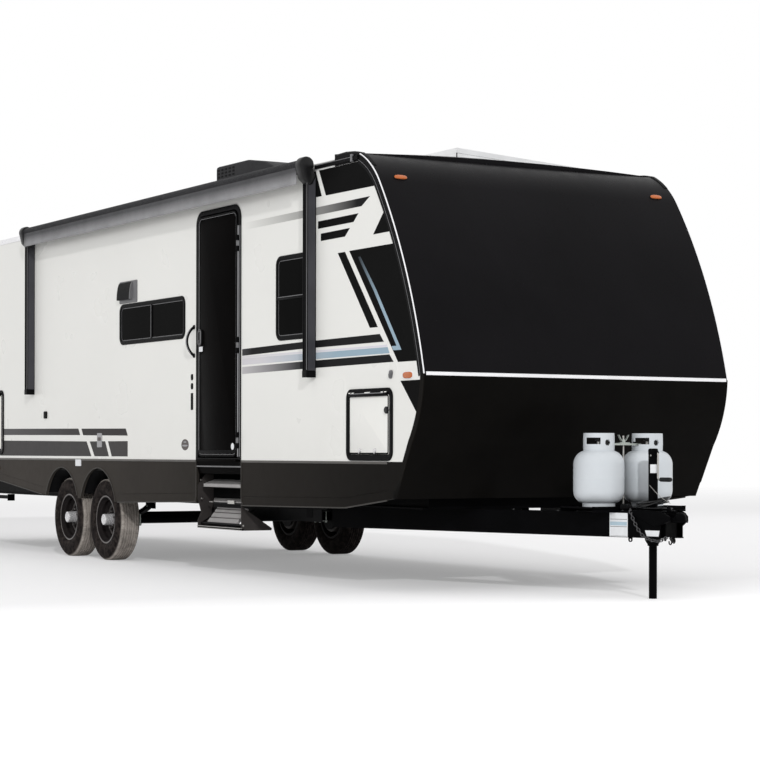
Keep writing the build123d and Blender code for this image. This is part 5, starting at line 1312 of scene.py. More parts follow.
def bottle_collar(patch, centre):
    """A round sheet with its slots and holes left out of a fine grid of angle and height."""
    rows, cols = 30, 180
    turn, lift = around(cols), np.linspace(0.356, 0.476, rows) + TRAY_Z
    radius = 0.096 + 0.002 * np.sin((lift - lift[0]) / 0.12 * pi)
    grid = spread(radius[:, None] * np.cos(turn), radius[:, None] * np.sin(turn), lift[:, None])
    faces = cells(rows, cols, close_cols=True)
    row, col = np.divmod(np.arange(len(faces)), cols)
    angle = (turn[col] + pi / cols + pi) % (2 * pi) - pi
    high, along = lift[row] + 0.002 - TRAY_Z, angle * 0.097
    slot = (along > -0.152) & (along < -0.052) & (high > 0.404) & (high < 0.446)
    hole = (along + 0.003) ** 2 + (high - 0.416) ** 2 < 0.019 ** 2
    back = (np.abs(angle) > 2.2) & (high > 0.4)
    notch = (np.abs(np.abs(angle) - pi / 2) < 0.3) & (high > 0.394) & (high < 0.424)
    notch &= np.sign(angle) != np.sign(centre[1])
    patch.add(grid + centre, [faces[~(slot | hole | back | notch)]])


def bottle_tray():
    """Folded tray, threaded rod, clamping bar and wing nut."""
    tray, zinc, stud = patches(3)
    x0, x1, middle = BOTTLE_X - 0.175, BOTTLE_X + 0.175, (BOTTLE_X, 0.0, 0.0)
    box(tray, (x0, -0.367, TRAY_Z - 0.004), (x1, 0.367, TRAY_Z))
    for x in (x0, x1 - 0.004):
        box(tray, (x, -0.367, 0.54), (x + 0.004, 0.367, TRAY_Z + 0.014))
    for y in (-0.367, 0.363):
        box(tray, (x0, y, TRAY_Z - 0.004), (x1, y + 0.004, TRAY_Z + 0.012))
    dress(tray, "bottle_tray_pan", "enamel_black", covers=("bottle_tray",))
    lathe(stud, mm((0, 462), (6, 461), (7, 458), (7, 0)) + (0.0, TRAY_Z), middle, "z", 16)
    dress(stud, "bottle_rod", "plated_steel")
    channel = mm((-18, -4), (-18, 8), (18, 8), (18, -4), (15, -4), (15, 5), (-15, 5), (-15, -4))
    slab(zinc, channel + (BOTTLE_X, BAR_Z), -0.13, 0.13)
    pillow(zinc, (BOTTLE_X - 0.02, -0.04), (BOTTLE_X + 0.02, 0.04), 0.004,
           BAR_Z + 0.008, BAR_Z + 0.014, 0.002, "flat")
    lathe(zinc, mm((0, 34), (10, 34), (13, 28), (15, 14)) + (0.0, BAR_Z), middle, "z", 20)
    rise = np.linspace(0, 1, 9)
    for side in (-1, 1):
        path = spread(BOTTLE_X, side * (0.008 + 0.031 * rise), BAR_Z + 0.022 + 0.04 * rise ** 1.5)
        carry(zinc, mm((-8, -2), (8, -2), (8, 2), (-8, 2)), path, (1, 0, 0))
    dress(zinc, "bottle_bar", "zinc_plate")


class CARAVAN_OT_bottles(bpy.types.Operator):
    """Make the two gas bottles with their collars, valves, foot rings and hold-down bar"""
    bl_idname = "caravan.bottles"
    bl_label = "Gas bottles"

    def execute(self, context):
        bottles, brass, dark, collars = patches(4)
        low, high = TRAY_Z + 0.032, BOTTLE_TOP
        turn = np.linspace(0, pi / 2, 14)
        belly = spread(0.095 + 0.067 * np.cos(turn - pi / 2), low + 0.08 + 0.08 * np.sin(turn - pi / 2))
        dome = spread(0.08 + 0.082 * np.cos(turn), high - 0.09 + 0.09 * np.sin(turn))
        seam = mm((162, -12), (162.5, -3), (162.8, 0), (162.5, 3), (162, 12)) + (0.0, (low + high) / 2 - 0.01)
        profile = np.concatenate([[(0.0, low)], belly, seam, dome, [(0.0, high)]])
        for side in (-1, 1):
            centre = np.array([BOTTLE_X, side * BOTTLE_Y, 0.0])
            lathe(bottles, profile, centre, "z", 96)
            lathe(bottles, mm((104, 1), (104, 44), (98, 44), (98, 1), (104, 1)) + (0.0, TRAY_Z), centre, "z", 72)
            bottle_collar(collars, centre)
            spot = centre + (0.074, -0.003, TRAY_Z + 0.416)
            rod(dark, spot, spot + (0.014, 0.0, 0.0), 0.0175, 20)
            lathe(brass, mm((0, 62), (12, 62), (14, 58), (14, 40), (21, 38), (21, 4), (26, -4)) + (0.0, high),
                  centre, "z", 24)
            rod(brass, centre + (0.0, 0.0, high + 0.03), centre + (0.055, 0.0, high + 0.03), 0.011, 16)
            lathe(dark, mm((0, 86), (20, 85), (26, 80), (26, 66), (20, 62), (0, 62)) + (0.0, high), centre, "z", 20)
        dress(bottles, "bottle_shells", "bottle_white", covers=("gas_bottles",), sharp=40.0)
        thicken(dress(collars, "bottle_collars", "bottle_white"), 0.004)
        dress(brass, "bottle_valves", "plated_steel")
        dress(dark, "bottle_knobs", "rubber_black")
        bottle_tray()
        return {"FINISHED"}


# ---- tongue
# A rail leans inwards by LEAN for each metre forward; its middle line ends at RAIL_TIP
LEAN = 0.31
RAIL_TIP = 0.19, 0.062
RAIL_HALF = 0.025
MIDDLE = 0.0, 0.0, 0.0
# The chain's slack line from its rail to its hook
CHAIN_LINE = mm((-30, -150, 556), (-21, -162, 560), (-13, -166, 545), (9, -158, 492), (38, -149, 443), (67, -140, 407),
                (96, -131, 387), (139, -118, 374), (175, -106, 369), (204, -97, 371), (225, -91, 384), (246, -85, 394),
                (266, -78, 388))
LINK_LONG, LINK_WIDE, LINK_WIRE, LINK_PITCH = 0.0135, 0.0088, 0.0029, 0.0212


def rail_y(x, out=0.0):
    """How far a rail's middle line stands to the side, with out more square to the rail."""
    return RAIL_TIP[1] + (RAIL_TIP[0] - x) * LEAN + out * sqrt(1 + LEAN ** 2)


def rail_face(outline, side, out):
    """An outline of (x, z) points laid on a rail's outer face and moved outwards by out."""
    x, z = np.transpose(outline)
    return spread(x, side * rail_y(x, RAIL_HALF + out), z)


def on_rail(patch, outline, side, low, high):
    """A plate on a rail's outer face between two depths."""
    prism(patch, [rail_face(outline, side, low), rail_face(outline, side, high)])


def along_line(place, reach, points):
    """Where a line of points is at some reach along it."""
    return np.stack([np.interp(place, reach, points[:, k]) for k in range(3)], -1)


def tongue_jack():
    """The jack's turned tube with its plate, the cranked handle and grip, and the ram."""
    jack, silver, grip, ram = patches(4)
    for profile in (mm((25.7, 330), (34, 331), (35, 342), (50, 366), (53, 384), (30, 385), (30, 905), (31.2, 906),
                       (31.2, 930), (29, 939), (22, 942), (0, 942)),
                    mm((30, 562), (62, 562), (62, 551), (30, 551)), mm((25.7, 330), (25.7, 345), (30, 345))):
        lathe(jack, profile, MIDDLE, "z", 40)
    rod(jack, (0.026, 0, 0.915), (0.048, 0, 0.915), 0.01, 16)
    rod(jack, (0.016, -0.024, 0.898), (0.022, -0.036, 0.898), 0.012, 16)
    dress(jack, "jack_tube", "enamel_black", covers=("jack_body",))
    turn = polar(0.012, np.linspace(0, pi / 2, 7))
    top = spread(0.037 + turn[:, 1], 0.0, 0.903 + turn[:, 0])
    low = spread(0.061 - turn[:, 0], 0.0, 0.76 - turn[:, 1])
    tube(silver, np.concatenate([[(0.03, 0, 0.915)], top, low, [(0.08, 0, 0.748)]]), 0.0062, 12, (0, 1, 0))
    lathe(silver, mm((0, -38), (6, -38), (7, -36), (7, -30)), (0.02, 0.0, 0.898), "y", 14)
    dress(silver, "jack_crank", "plated_steel")
    lathe(grip, mm((0, 74), (10, 75), (13.5, 79), (14, 90), (14, 168), (13.5, 176), (10, 181), (0, 182)),
          (0, 0, 0.748), "x", 24)
    dress(grip, "jack_grip", "rubber_black")
    lathe(ram, mm((0, 0), (24, 0), (25.4, 1.5), (25.4, 595), (0, 595)), MIDDLE, "z", 40)
    dress(ram, "jack_ram_tube", "enamel_black", "jack_ram", ("jack_ram",))


def tongue_rails(labels, bolts):
    """Flat faces on the rails, the coupler's pressed cheeks, blank labels and the deck's bolts."""
    faces, cheeks = patches(2)
    cheek = mm((-50, 548), (-39, 556), (41, 560), (149, 556), (215, 543), (258, 522), (262, 492), (241, 486),
               (185, 462), (149, 459), (113, 476), (63, 500), (12, 520), (-40, 532))
    centre, rear = np.array((0.11, 0.515)), at(1.735)
    for side in (-1, 1):
        for x in (-0.11, -0.055, 0.055, 0.1, -0.95, -0.6, -0.45):
            bolt(bolts, (x, side * rail_y(x), 0.55 if x > -0.3 else 0.54), (0, 0, 1))
        on_rail(faces, [(rear, 0.3895), (0.187, 0.3895), (0.187, 0.5355), (rear, 0.5355)], side, -0.006, -0.0005)
        levels = ((1.0, -0.001), (1.0, 0.004), (0.97, 0.008), (0.9, 0.01))
        prism(cheeks, [rail_face(centre + (cheek - centre) * share, side, out) for share, out in levels])
        for outline in (mm((-180.5, 388.5), (-48, 388.5), (-48, 537.5), (-180.5, 537.5)),
                        mm((91.7, 397), (176, 397), (183, 433), (78.5, 433))):
            on_rail(labels, outline, side, -0.001, 0.0008)
    dress(faces, "rail_faces", "enamel_black")
    dress(cheeks, "coupler_cheeks", "enamel_black")


def tongue_chains():
    """Welded links along a slack line: each is a torus stretched to an oval, turned a quarter from the last."""
    reach = np.concatenate([[0], np.cumsum(np.linalg.norm(np.diff(CHAIN_LINE, axis=0), axis=1))])
    fine = np.linspace(0, reach[-1], 240)
    padded = np.pad(along_line(fine, reach, CHAIN_LINE), ((6, 6), (0, 0)), mode="edge")
    smooth = np.stack([np.convolve(padded[:, k], np.ones(13) / 13, "valid") for k in range(3)], -1)
    count = int(reach[-1] / LINK_PITCH)
    chain, hooks = patches(2)
    spine, wire = polar(1, around(20))[:, None, :, None], polar(1, around(8))[None, :, :, None]
    for side in (-1, 1):
        pull = np.array([0.16 if side > 0 else 0.0, 0.0, 0.0])
        for index in range(count):
            mid, far = along_line(np.array([index + 0.5, index + 0.9]) * LINK_PITCH, fine, smooth)
            along = (far - mid) / np.linalg.norm(far - mid)
            first = np.cross(along, (0.3, -0.95, 0.0))
            first /= np.linalg.norm(first)
            turn = radians(45) + index % 2 * pi / 2
            wide = cos(turn) * first + sin(turn) * np.cross(along, first)
            radial = spine[:, :, 0] * along * LINK_WIDE + spine[:, :, 1] * wide * LINK_LONG
            radial /= np.linalg.norm(radial, axis=-1)[..., None]
            oval = LINK_LONG * spine[:, :, 0] * along + LINK_WIDE * spine[:, :, 1] * wide
            round_it = wire[:, :, 0] * radial + wire[:, :, 1] * np.cross(along, wide)
            points = mid - pull * index / count + oval + LINK_WIRE * round_it
            sheet(chain, points * (1, -side, 1), close_rows=True, close_cols=True)
        turn = np.linspace(radians(70), radians(-200), 16)
        hook = spread(0.272 + 0.013 * np.cos(turn), -0.076, 0.366 + 0.015 * np.sin(turn))
        tube(hooks, (hook - pull) * (1, -side, 1), 0.0042, 10, (0, 1, 0))
    dress(chain, "chain_links", "chain_black", covers=("safety_chains",))
    dress(hooks, "chain_hooks", "rubber_black")


class CARAVAN_OT_tongue(bpy.types.Operator):
    """Make the jack and its crank, the coupler's cheeks, the rails' faces, the chains and blank labels"""
    bl_idname = "caravan.tongue"
    bl_label = "Tongue"

    def execute(self, context):
        labels, bolts, bars, blues, wire = patches(5)
        tongue_jack()
        wrap = polar(1, np.linspace(radians(-75), radians(30), 12))
        sheet(labels, [spread(radius * wrap[:, 0], radius * wrap[:, 1], z) for radius, z in mm(
            (30.2, 788), (30.2, 842), (29.6, 842), (29.6, 788))], close_rows=True)
        tongue_rails(labels, bolts)
        dress(bolts, "tongue_bolts", "chain_black")
        dress(labels, "tongue_labels", "label_white")
        for side in (-1, 1):
            for patch, low, high in ((bars, 496, 499), (bars, 450, 453), (blues, 459, 482), (bars, 392.5, 394)):
                on_rail(patch, mm((-176, low), (-53, low), (-53, high), (-176, high)), side, 0.0, 0.0016)
        dress(bars, "label_bars", "vent_grey")
        dress(blues, "label_panels", "pale_blue")
        drop = np.linspace(0, 1, 14)
        sag = 0.012 * np.sin(pi * drop)
        tube(wire, spread(0.005 + 0.215 * drop, -0.0325 - 0.004 * drop, 0.712 - 0.11 * drop - sag), 0.0019, 8)
        dress(wire, "breakaway_wire", "plated_steel")
        tongue_chains()
        return {"FINISHED"}


# ---- tow cable
EXIT_POINT = (-0.104, 0.104, 0.556)
PLUG_START, PLUG_END = mm((-52, -121, 572), (-126, -150, 572))


def cable_coil():
    """Turns whose radius sways by 4 mm and whose height climbs by 15 mm a turn and leans up to 36 mm.

    Over its last part the coil eases to the radius and the height at which the tail leaves it.
    """
    whole = radians(170) + 2 * pi * (sizes().coil_turns - 1)
    share = np.linspace(0, 1, int(round(whole / (2 * pi) * 16)) + 1)
    angle, gone = pi / 2 - whole * share, whole * share / (2 * pi)
    last = np.clip(whole * (1 - share) / radians(150), 0, 1)
    wide, tall = np.clip((last - 0.6) / 0.4, 0, 1), np.clip(last / 0.6, 0, 1)
    loop = sizes().coil_radius + 0.004 * (np.sin(gone * 5.1) - 1) * np.minimum(gone, 1)
    lean = 0.018 * (1 + np.cos(angle - radians(50))) * np.minimum(gone / 0.9, 1)
    rise = 0.556 + 0.0148 * gone + lean
    loop, rise = loop * wide + 0.118 * (1 - wide), rise * tall + 0.573 * (1 - tall)
    return spread(loop * np.cos(angle), loop * np.sin(angle), rise)


def cable_length(run):
    """Length along the smooth line of the cable."""
    shadow = run.data.copy()
    shadow.bevel_depth = 0.0
    holder = bpy.data.objects.new("cable_line", shadow)
    bpy.context.scene.collection.objects.link(holder)
    bpy.context.view_layer.update()
    graph = bpy.context.evaluated_depsgraph_get()
    mesh = bpy.data.meshes.new_from_object(holder.evaluated_get(graph))
    line = np.zeros(len(mesh.vertices) * 3)
    mesh.vertices.foreach_get("co", line)
    bpy.data.objects.remove(holder)
    return np.linalg.norm(np.diff(line.reshape(-1, 3), axis=0), axis=1).sum()


def cable_plug():
    """A tapered strain relief, a ribbed barrel and a rim, turned about the plug's line."""
    patch = Patch()
    long = float(np.linalg.norm(PLUG_END - PLUG_START))
    run = (PLUG_END - PLUG_START) / long
    barrel = mm((0, -1), (6.5, -1), (10, 4), (11.5, 16), (17, 20), (20.5, 24), (20.5, 32), (19.5, 33), (19.5, 36),
                (20.5, 37), (20.5, 45), (19.5, 46), (19.5, 49), (20.5, 50))
    rim = mm((21.5, -8), (21.8, -1), (19, 0), (18, -4), (0, -4)) + (0.0, long)
    profile, turn = np.concatenate([barrel, rim]), around(28)[:, None]
    side = np.cross(run, (0, 0, 1))
    side /= np.linalg.norm(side)
    out = np.cos(turn) * side + np.sin(turn) * np.cross(side, run)
    sheet(patch, PLUG_START + profile[:, None, 1:] * run + profile[:, None, :1] * out, close_cols=True)
    return dress(patch, "tow_plug_body", "moulded_black", covers=("tow_plug",))


class CARAVAN_OT_cable(bpy.types.Operator):
    """Lay the tow cable: out of its gland, loose turns round the jack and on to its plug"""
    bl_idname = "caravan.cable"
    bl_label = "Tow cable"

    def execute(self, context):
        points = np.concatenate([[EXIT_POINT, (-0.07, 0.104, 0.556), (-0.035, 0.104, 0.556)], cable_coil(),
                                 [(-0.018, -0.1185, 0.5722), PLUG_START]])
        curve = bpy.data.curves.new("tow_cable_run", "CURVE")
        curve.dimensions, curve.bevel_depth, curve.bevel_resolution = "3D", 0.006, 4
        curve.resolution_u, curve.use_fill_caps = 10, True
        spline = curve.splines.new("NURBS")
        spline.points.add(len(points) - 1)
        spline.points.foreach_set("co", np.column_stack([points, np.ones(len(points))]).ravel())
        spline.order_u, spline.use_endpoint_u = 3, True
        curve.materials.append(finish("cable_black"))
        run = bpy.data.objects.new("tow_cable_run", curve)
        bpy.context.scene.collection.objects.link(run)
        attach(run, "caravan")
        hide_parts("tow_cable", "tow_coil")
        plug = cable_plug()
        float(cable_length(run))
        return {"FINISHED"}


# ---- steps
STEP_X0, STEP_X1 = WELL_REAR + 0.012, WELL_FRONT - 0.012
STEP_FACE = -HALF + 0.006


def step_tread(plate, ribs, front_x, back_x, front, back, lip):
    """A leaning tread: a plate from its front edge to its shorter back edge, with a folded lip below."""
    def quad(near_x, near, far_x, far):
        return np.array([(near_x[0], *near), (near_x[1], *near), (far_x[1], *far), (far_x[0], *far)])

    top = quad(front_x, front, back_x, back)
    prism(plate, [top, top - (0, -0.002, 0.004)])
    edge = quad(front_x, front, front_x, front + (0.004, 0.0))
    prism(plate, [edge + (0, 0, 0.001), edge - (0, 0, lip)])
    for share in (0.22, 0.62):
        low, high = (front + (back - front) * place for place in (share, share + 0.1))
        x = front_x[0] + (back_x[0] - front_x[0]) * (share + 0.1) + 0.012, front_x[1] - 0.02
        rib = quad(x, low, x, high)
        prism(ribs, [rib - (0, 0.0, 0.001), rib + (0, -0.0012, 0.0022)])


def step_fold(x0, x1):
    """The fold-down panel, leaning inwards from its pivot, with broad raised ribs and side arms."""
    lean = radians(38.0)
    along, out, root = np.array([sin(lean), cos(lean)]), np.array([-cos(lean), sin(lean)]), mm(-1185, 372)
    panel, arms, painted_groove_shade = patches(3)
    low_x, high_x = x0 + 0.115, x1 - 0.13

    def bar(patch, places, start, end):
        """A bar across the panel with its section as (along, out) places in millimetres."""
        slab(patch, [root + along * a + out * b for a, b in mm(*places)], start, end, "cross")

    bar(panel, ((0, -10), (0, 4), (150, 4), (150, -10)), low_x, high_x)
    for start, end in ((6, 50), (56, 98), (104, 132), (138, 150)):
        bar(panel, ((start, 3), (start + 4, 9.5), (end - 4, 9.5), (end, 3)), low_x + 0.004, high_x - 0.004)
    # dark strips laid in the gaps between the ribs: painted shade
    for mid in (53, 101, 135):
        bar(painted_groove_shade, ((mid - 3, 3.2), (mid - 3, 4.2), (mid + 3, 4.2), (mid + 3, 3.2)),
            low_x + 0.002, high_x - 0.002)
    rod(arms, (x0 + 0.016, *root), (x1 - 0.016, *root), 0.0105, 16)
    for x, kick in ((x0 + 0.016, 0.09), (x1 - 0.02, -0.11)):
        for start, end, move in ((0.0, 0.075, (0.0, kick)), (0.075, 0.15, (kick, 0.0))):
            low, high = root + along * start - out * 0.006, root + along * end - out * 0.006
            arm = np.array([(x + move[0], *low), (x + move[1], *high), (x + move[1] + 0.004, *high),
                            (x + move[0] + 0.004, *low)])
            prism(arms, [arm, arm + (0, *(out * 0.012))])
    dress(panel, "fold_panel", "tread_grey", "fold_step", ("fold_step",))
    dress(painted_groove_shade, "fold_grooves", "step_steel", "fold_step")
    dress(arms, "fold_arms", "moulded_black", "fold_step")


class CARAVAN_OT_steps(bpy.types.Operator):
    """Make the stowed entry steps: side plates, leaning treads with broad ribs, latch bar and bright edges"""
    bl_idname = "caravan.steps"
    bl_label = "Entry steps"

    def execute(self, context):
        x0, x1, face = STEP_X0, STEP_X1, STEP_FACE
        plates, treads, bright, black, ribs = patches(5)
        slab(plates, [(face, 0.335), (-0.965, 0.335), (-0.96, 0.35), (-1.19, 0.5), (-1.19, 0.753), (face, 0.753)],
             x1 - 0.006, x1, "cross")
        slab(plates, [(face, 0.335), (-0.965, 0.335), (-1.08, 0.505), (-1.08, 0.745), (-1.15, 0.745), (face, 0.66),
                      (face, 0.56), (-1.185, 0.455), (face, 0.39)], x0, x0 + 0.006, "cross")
        box(plates, (x0 + 0.006, face, 0.335), (x1 - 0.006, -0.96, 0.347))
        box(plates, (x0 + 0.006, -1.1, 0.64), (x1 - 0.006, -0.96, 0.652))
        dress(plates, "step_plates", "step_steel", covers=("step_frame",))
        for patch, low, high, out, deep, start, end in (
                (black, 0.341, 0.349, 0.004, 0.02, x0 + 0.006, x1 + 0.001),
                (bright, 0.335, 0.339, 0.006, 0.004, x0 + 0.004, x1 + 0.002),
                (bright, 0.35, 0.354, 0.009, 0.004, x0 + 0.004, x1 + 0.002)):
            slab(patch, [(face - out, low), (face - out, high), (face + deep, high), (face + deep, low)],
                 start, end, "cross")
        for x, z in ((x1 - 0.004, 0.372), (x0 + 0.03, 0.7), (x0 + 0.05, 0.56)):
            rod(bright, (x - 0.006, -1.198, z), (x + 0.007, -1.198, z), 0.007, 12)
        for front_x, back_x, front, back, lip in (
                ((x0 + 0.079, x1 - 0.003), (x0 + 0.01, x1 - 0.012), (-1.2, 0.672), (-1.075, 0.704), 0.022),
                ((x0 + 0.15, x1 - 0.03), (x0 + 0.03, x1 - 0.04), (-1.15, 0.542), (-1.085, 0.562), 0.012)):
            step_tread(treads, ribs, front_x, back_x, np.array(front), np.array(back), lip)
        rod(bright, (x0 + 0.105, -1.16, 0.536), (x0 + 0.16, -1.16, 0.536), 0.006, 12)
        box(bright, (x0 + 0.42, -1.166, 0.526), (x0 + 0.53, -1.15, 0.552), 0.002)
        box(black, (x0 + 0.16, -1.158, 0.52), (x1 - 0.03, -1.148, 0.534))
        box(black, (-4.6, -0.935, 0.415), (-2.62, -0.925, 0.545))
        dress(treads, "step_treads", "tread_grey")
        dress(black, "step_dark_bars", "moulded_black")
        dress(bright, "step_bright_parts", "plated_steel")
        dress(ribs, "step_rib_lines", "rib_grey")
        step_fold(x0, x1)
        return {"FINISHED"}


# ---- roof
COOLER_FRONT, COOLER_TAIL = at(3.6), at(4.786)
# The solar panel's lower rear corner and upper front one as (y, z), and its ends along the roof
PANEL_LOW, PANEL_HIGH = mm((-222, 3050), (890, 2976))
PANEL_ENDS = at(1.87), at(1.2)
ROOF_Z = 2.925


def roof_cooler():
    """The shroud, drawn in towards its foot at both sides, and its louvres."""
    shroud, fins = patches(2)
    front, tail = COOLER_FRONT, COOLER_TAIL
    line = np.concatenate([mm((-20, 2968), (-20, 3302), (-14, 3314), (20, 3320)) + (tail, 0.0),
                           mm((-620, 3316), (-300, 3268), (-60, 3176), (-15, 3150), (0, 3105), (0, 2968))
                           + (front, 0.0)])
    centre, half = np.array([(front + tail) / 2, 2.968]), ((0.975, 0.35), (0.992, 0.343), (1.0, 0.328))
    stack(shroud, [(centre + (line - centre) * share, way * y)
                   for way, part in ((-1, half), (1, half[::-1])) for share, y in part])
    dress(shroud, "cooler_shroud", "shroud_black", covers=("air_conditioner",), sharp=28.0)
    for side in (-1, 1):
        for z in np.arange(3.03, 3.2, 0.022):
            section = mm((349, 0), (351.5, -3), (351.5, 3), (349, 10)) * (side, 1) + (0.0, z)
            slab(fins, section, tail + 0.48, tail + 0.8, "cross")
    for side in (-1, 1):
        for column in range(5):
            for row in range(7):
                x, z = tail + 0.006 + 0.07 * column, 3.106 + 0.028 * row
                pillow(fins, (x, z), (x + 0.046, z + 0.017), 0.007, side * 0.3485, side * 0.352, 0.0005)
    for y in np.arange(-0.25, 0.26, 0.05):
        slab(fins, mm((-19, 3020), (-23, 3020), (-23, 3240), (-19, 3240)) + (tail, 0.0), y, y + 0.018)
    dress(fins, "cooler_fins", "moulded_black")


def roof_solar_rim():
    """A rim on the leaning panel, its side faces, and the webs from its near sides to the roof."""
    rim = Patch()
    long = hypot(*(PANEL_HIGH - PANEL_LOW))
    along = (PANEL_HIGH - PANEL_LOW) / long
    up = np.array([-along[1], along[0]])
    rear, front = PANEL_ENDS
    for start, end, low, high, low_x, high_x in (
            (0.0, 0.022, 0.0005, 0.003, rear, front), (long - 0.022, long, 0.0005, 0.003, rear, front),
            (0.0, long, 0.0005, 0.0028, rear, rear + 0.022),
            (0.0, long, 0.0005, 0.0028, front - 0.022, front),
            (0.0, long, -0.033, 0.002, front, front + 0.0015), (0.0, long, -0.033, 0.002, rear, rear - 0.0015),
            (-0.001, 0.0, -0.033, 0.002, rear, front)):
        corners = ((start, low), (end, low), (end, high), (start, high))
        slab(rim, [PANEL_LOW + along * a + up * b for a, b in corners], low_x, high_x, "cross")
    (y0, z0), (y1, z1) = PANEL_LOW - up * 0.032, PANEL_HIGH - up * 0.032
    slab(rim, [(y0, z0), (y1, z1), (y1, ROOF_Z), (y0, ROOF_Z)], front - 0.006, front - 0.0005, "cross")
    slab(rim, [(y0, z0), (y0 + 0.006, z0), (y0 + 0.006, ROOF_Z), (y0, ROOF_Z)],
         rear + 0.0005, front - 0.0005, "cross")
    dress(rim, "solar_rim", "panel_rim")


class CARAVAN_OT_roof(bpy.types.Operator):
    """Make the air conditioner's shroud and louvres, the solar panel's rim and the roof edges"""
    bl_idname = "caravan.roof"
    bl_label = "Roof"

    def execute(self, context):
        roof_cooler()
        roof_solar_rim()
        edge = Patch()
        section = mm((-2, 2850), (4, 2851), (5, 2894), (-12, 2900.5), (-30, 2901.5), (-30, 2896)) + (HALF, 0.0)
        for side, back in ((-1, 1.5), (1, 1.17)):
            slab(edge, section * (side, 1), REAR, at(back), "cross")
        dress(edge, "roof_rails", "bead_white")
        return {"FINISHED"}


# ---- lamps and wall fittings
# Covers on the walls: front edge back, rear edge back, low z, high z
ROAD_COVERS = ((5.32, 5.72, 0.96, 1.36), (2.7, 3.06, 0.9, 1.12), (8.6, 8.76, 0.98, 1.14))


def range_vent(vents, dark, x0, x1, low, high):
    """A flat plate with a scoop whose section is a quarter of an ellipse."""
    pillow(vents, (x0, low - 0.022), (x1, high), 0.012, -HALF, -HALF - 0.006, 0.003)
    corner, turn = (-HALF - 0.004, low + 0.006), np.linspace(0, pi / 2, 9)
    curve = corner + spread(-0.03 * np.sin(turn), (high - low - 0.014) * np.cos(turn))
    section = np.concatenate([[corner], curve])
    slab(dark, section, x0 + 0.008, x1 - 0.095, "cross")
    slab(vents, section, x1 - 0.095, x1 - 0.085, "cross")


def lens_outline(centre, reach):
    """A rounded lens outline: an ellipse whose cosine and sine are raised to the power 0.7."""
    turn = circle(1, 40)
    return np.asarray(centre) + reach * np.sign(turn) * np.abs(turn) ** 0.7


def lens_dome(patch, outline, face, way, high, plane="side"):
    """A lens that rises from its outline to a soft top."""
    centre = outline.mean(0)
    rise = way * high
    stack(patch, [(outline, face)] + [
        (centre + (outline - centre) * share, face + rise * (0.35 + 0.65 * sqrt(1 - share ** 2)))
        for share in (1.0, 0.97, 0.88, 0.7, 0.4)], plane)


def marker_lamp(lens, base, centre, side, reach):
    """A small marker lamp: a flat base and a domed lens."""
    lens_dome(base, lens_outline(centre, (reach[0] + 0.006, reach[1] + 0.005)), side * HALF, side, 0.005)
    lens_dome(lens, lens_outline(centre, reach), side * HALF + side * 0.003, side, 0.012)


def brow_lamp(lens, base, y, z=2.718, step=0.01):
    """A marker lamp on the brow, laid on the nose's curve."""
    low, x, high = np.interp((z - step, z, z + step), UPPER_LINE[:, 1], UPPER_LINE[:, 0])
    ahead = np.array([high - low, 2 * step])
    ahead /= np.linalg.norm(ahead)
    for patch, reach, start, rise in ((base, (0.054, 0.021), -0.004, 0.01), (lens, (0.048, 0.016), 0.003, 0.0125)):
        rows = []
        for share, gone in ((1.0, 0.0), (1.0, 0.3), (0.95, 0.6), (0.8, 0.85), (0.45, 1.0)):
            wide, tall = lens_outline((0.0, 0.0), reach).T * share
            lift = start + gone * rise
            rows.append(spread(x + ahead[0] * tall + ahead[1] * lift, y + wide,
                               z + ahead[1] * tall - ahead[0] * lift))
        prism(patch, rows)


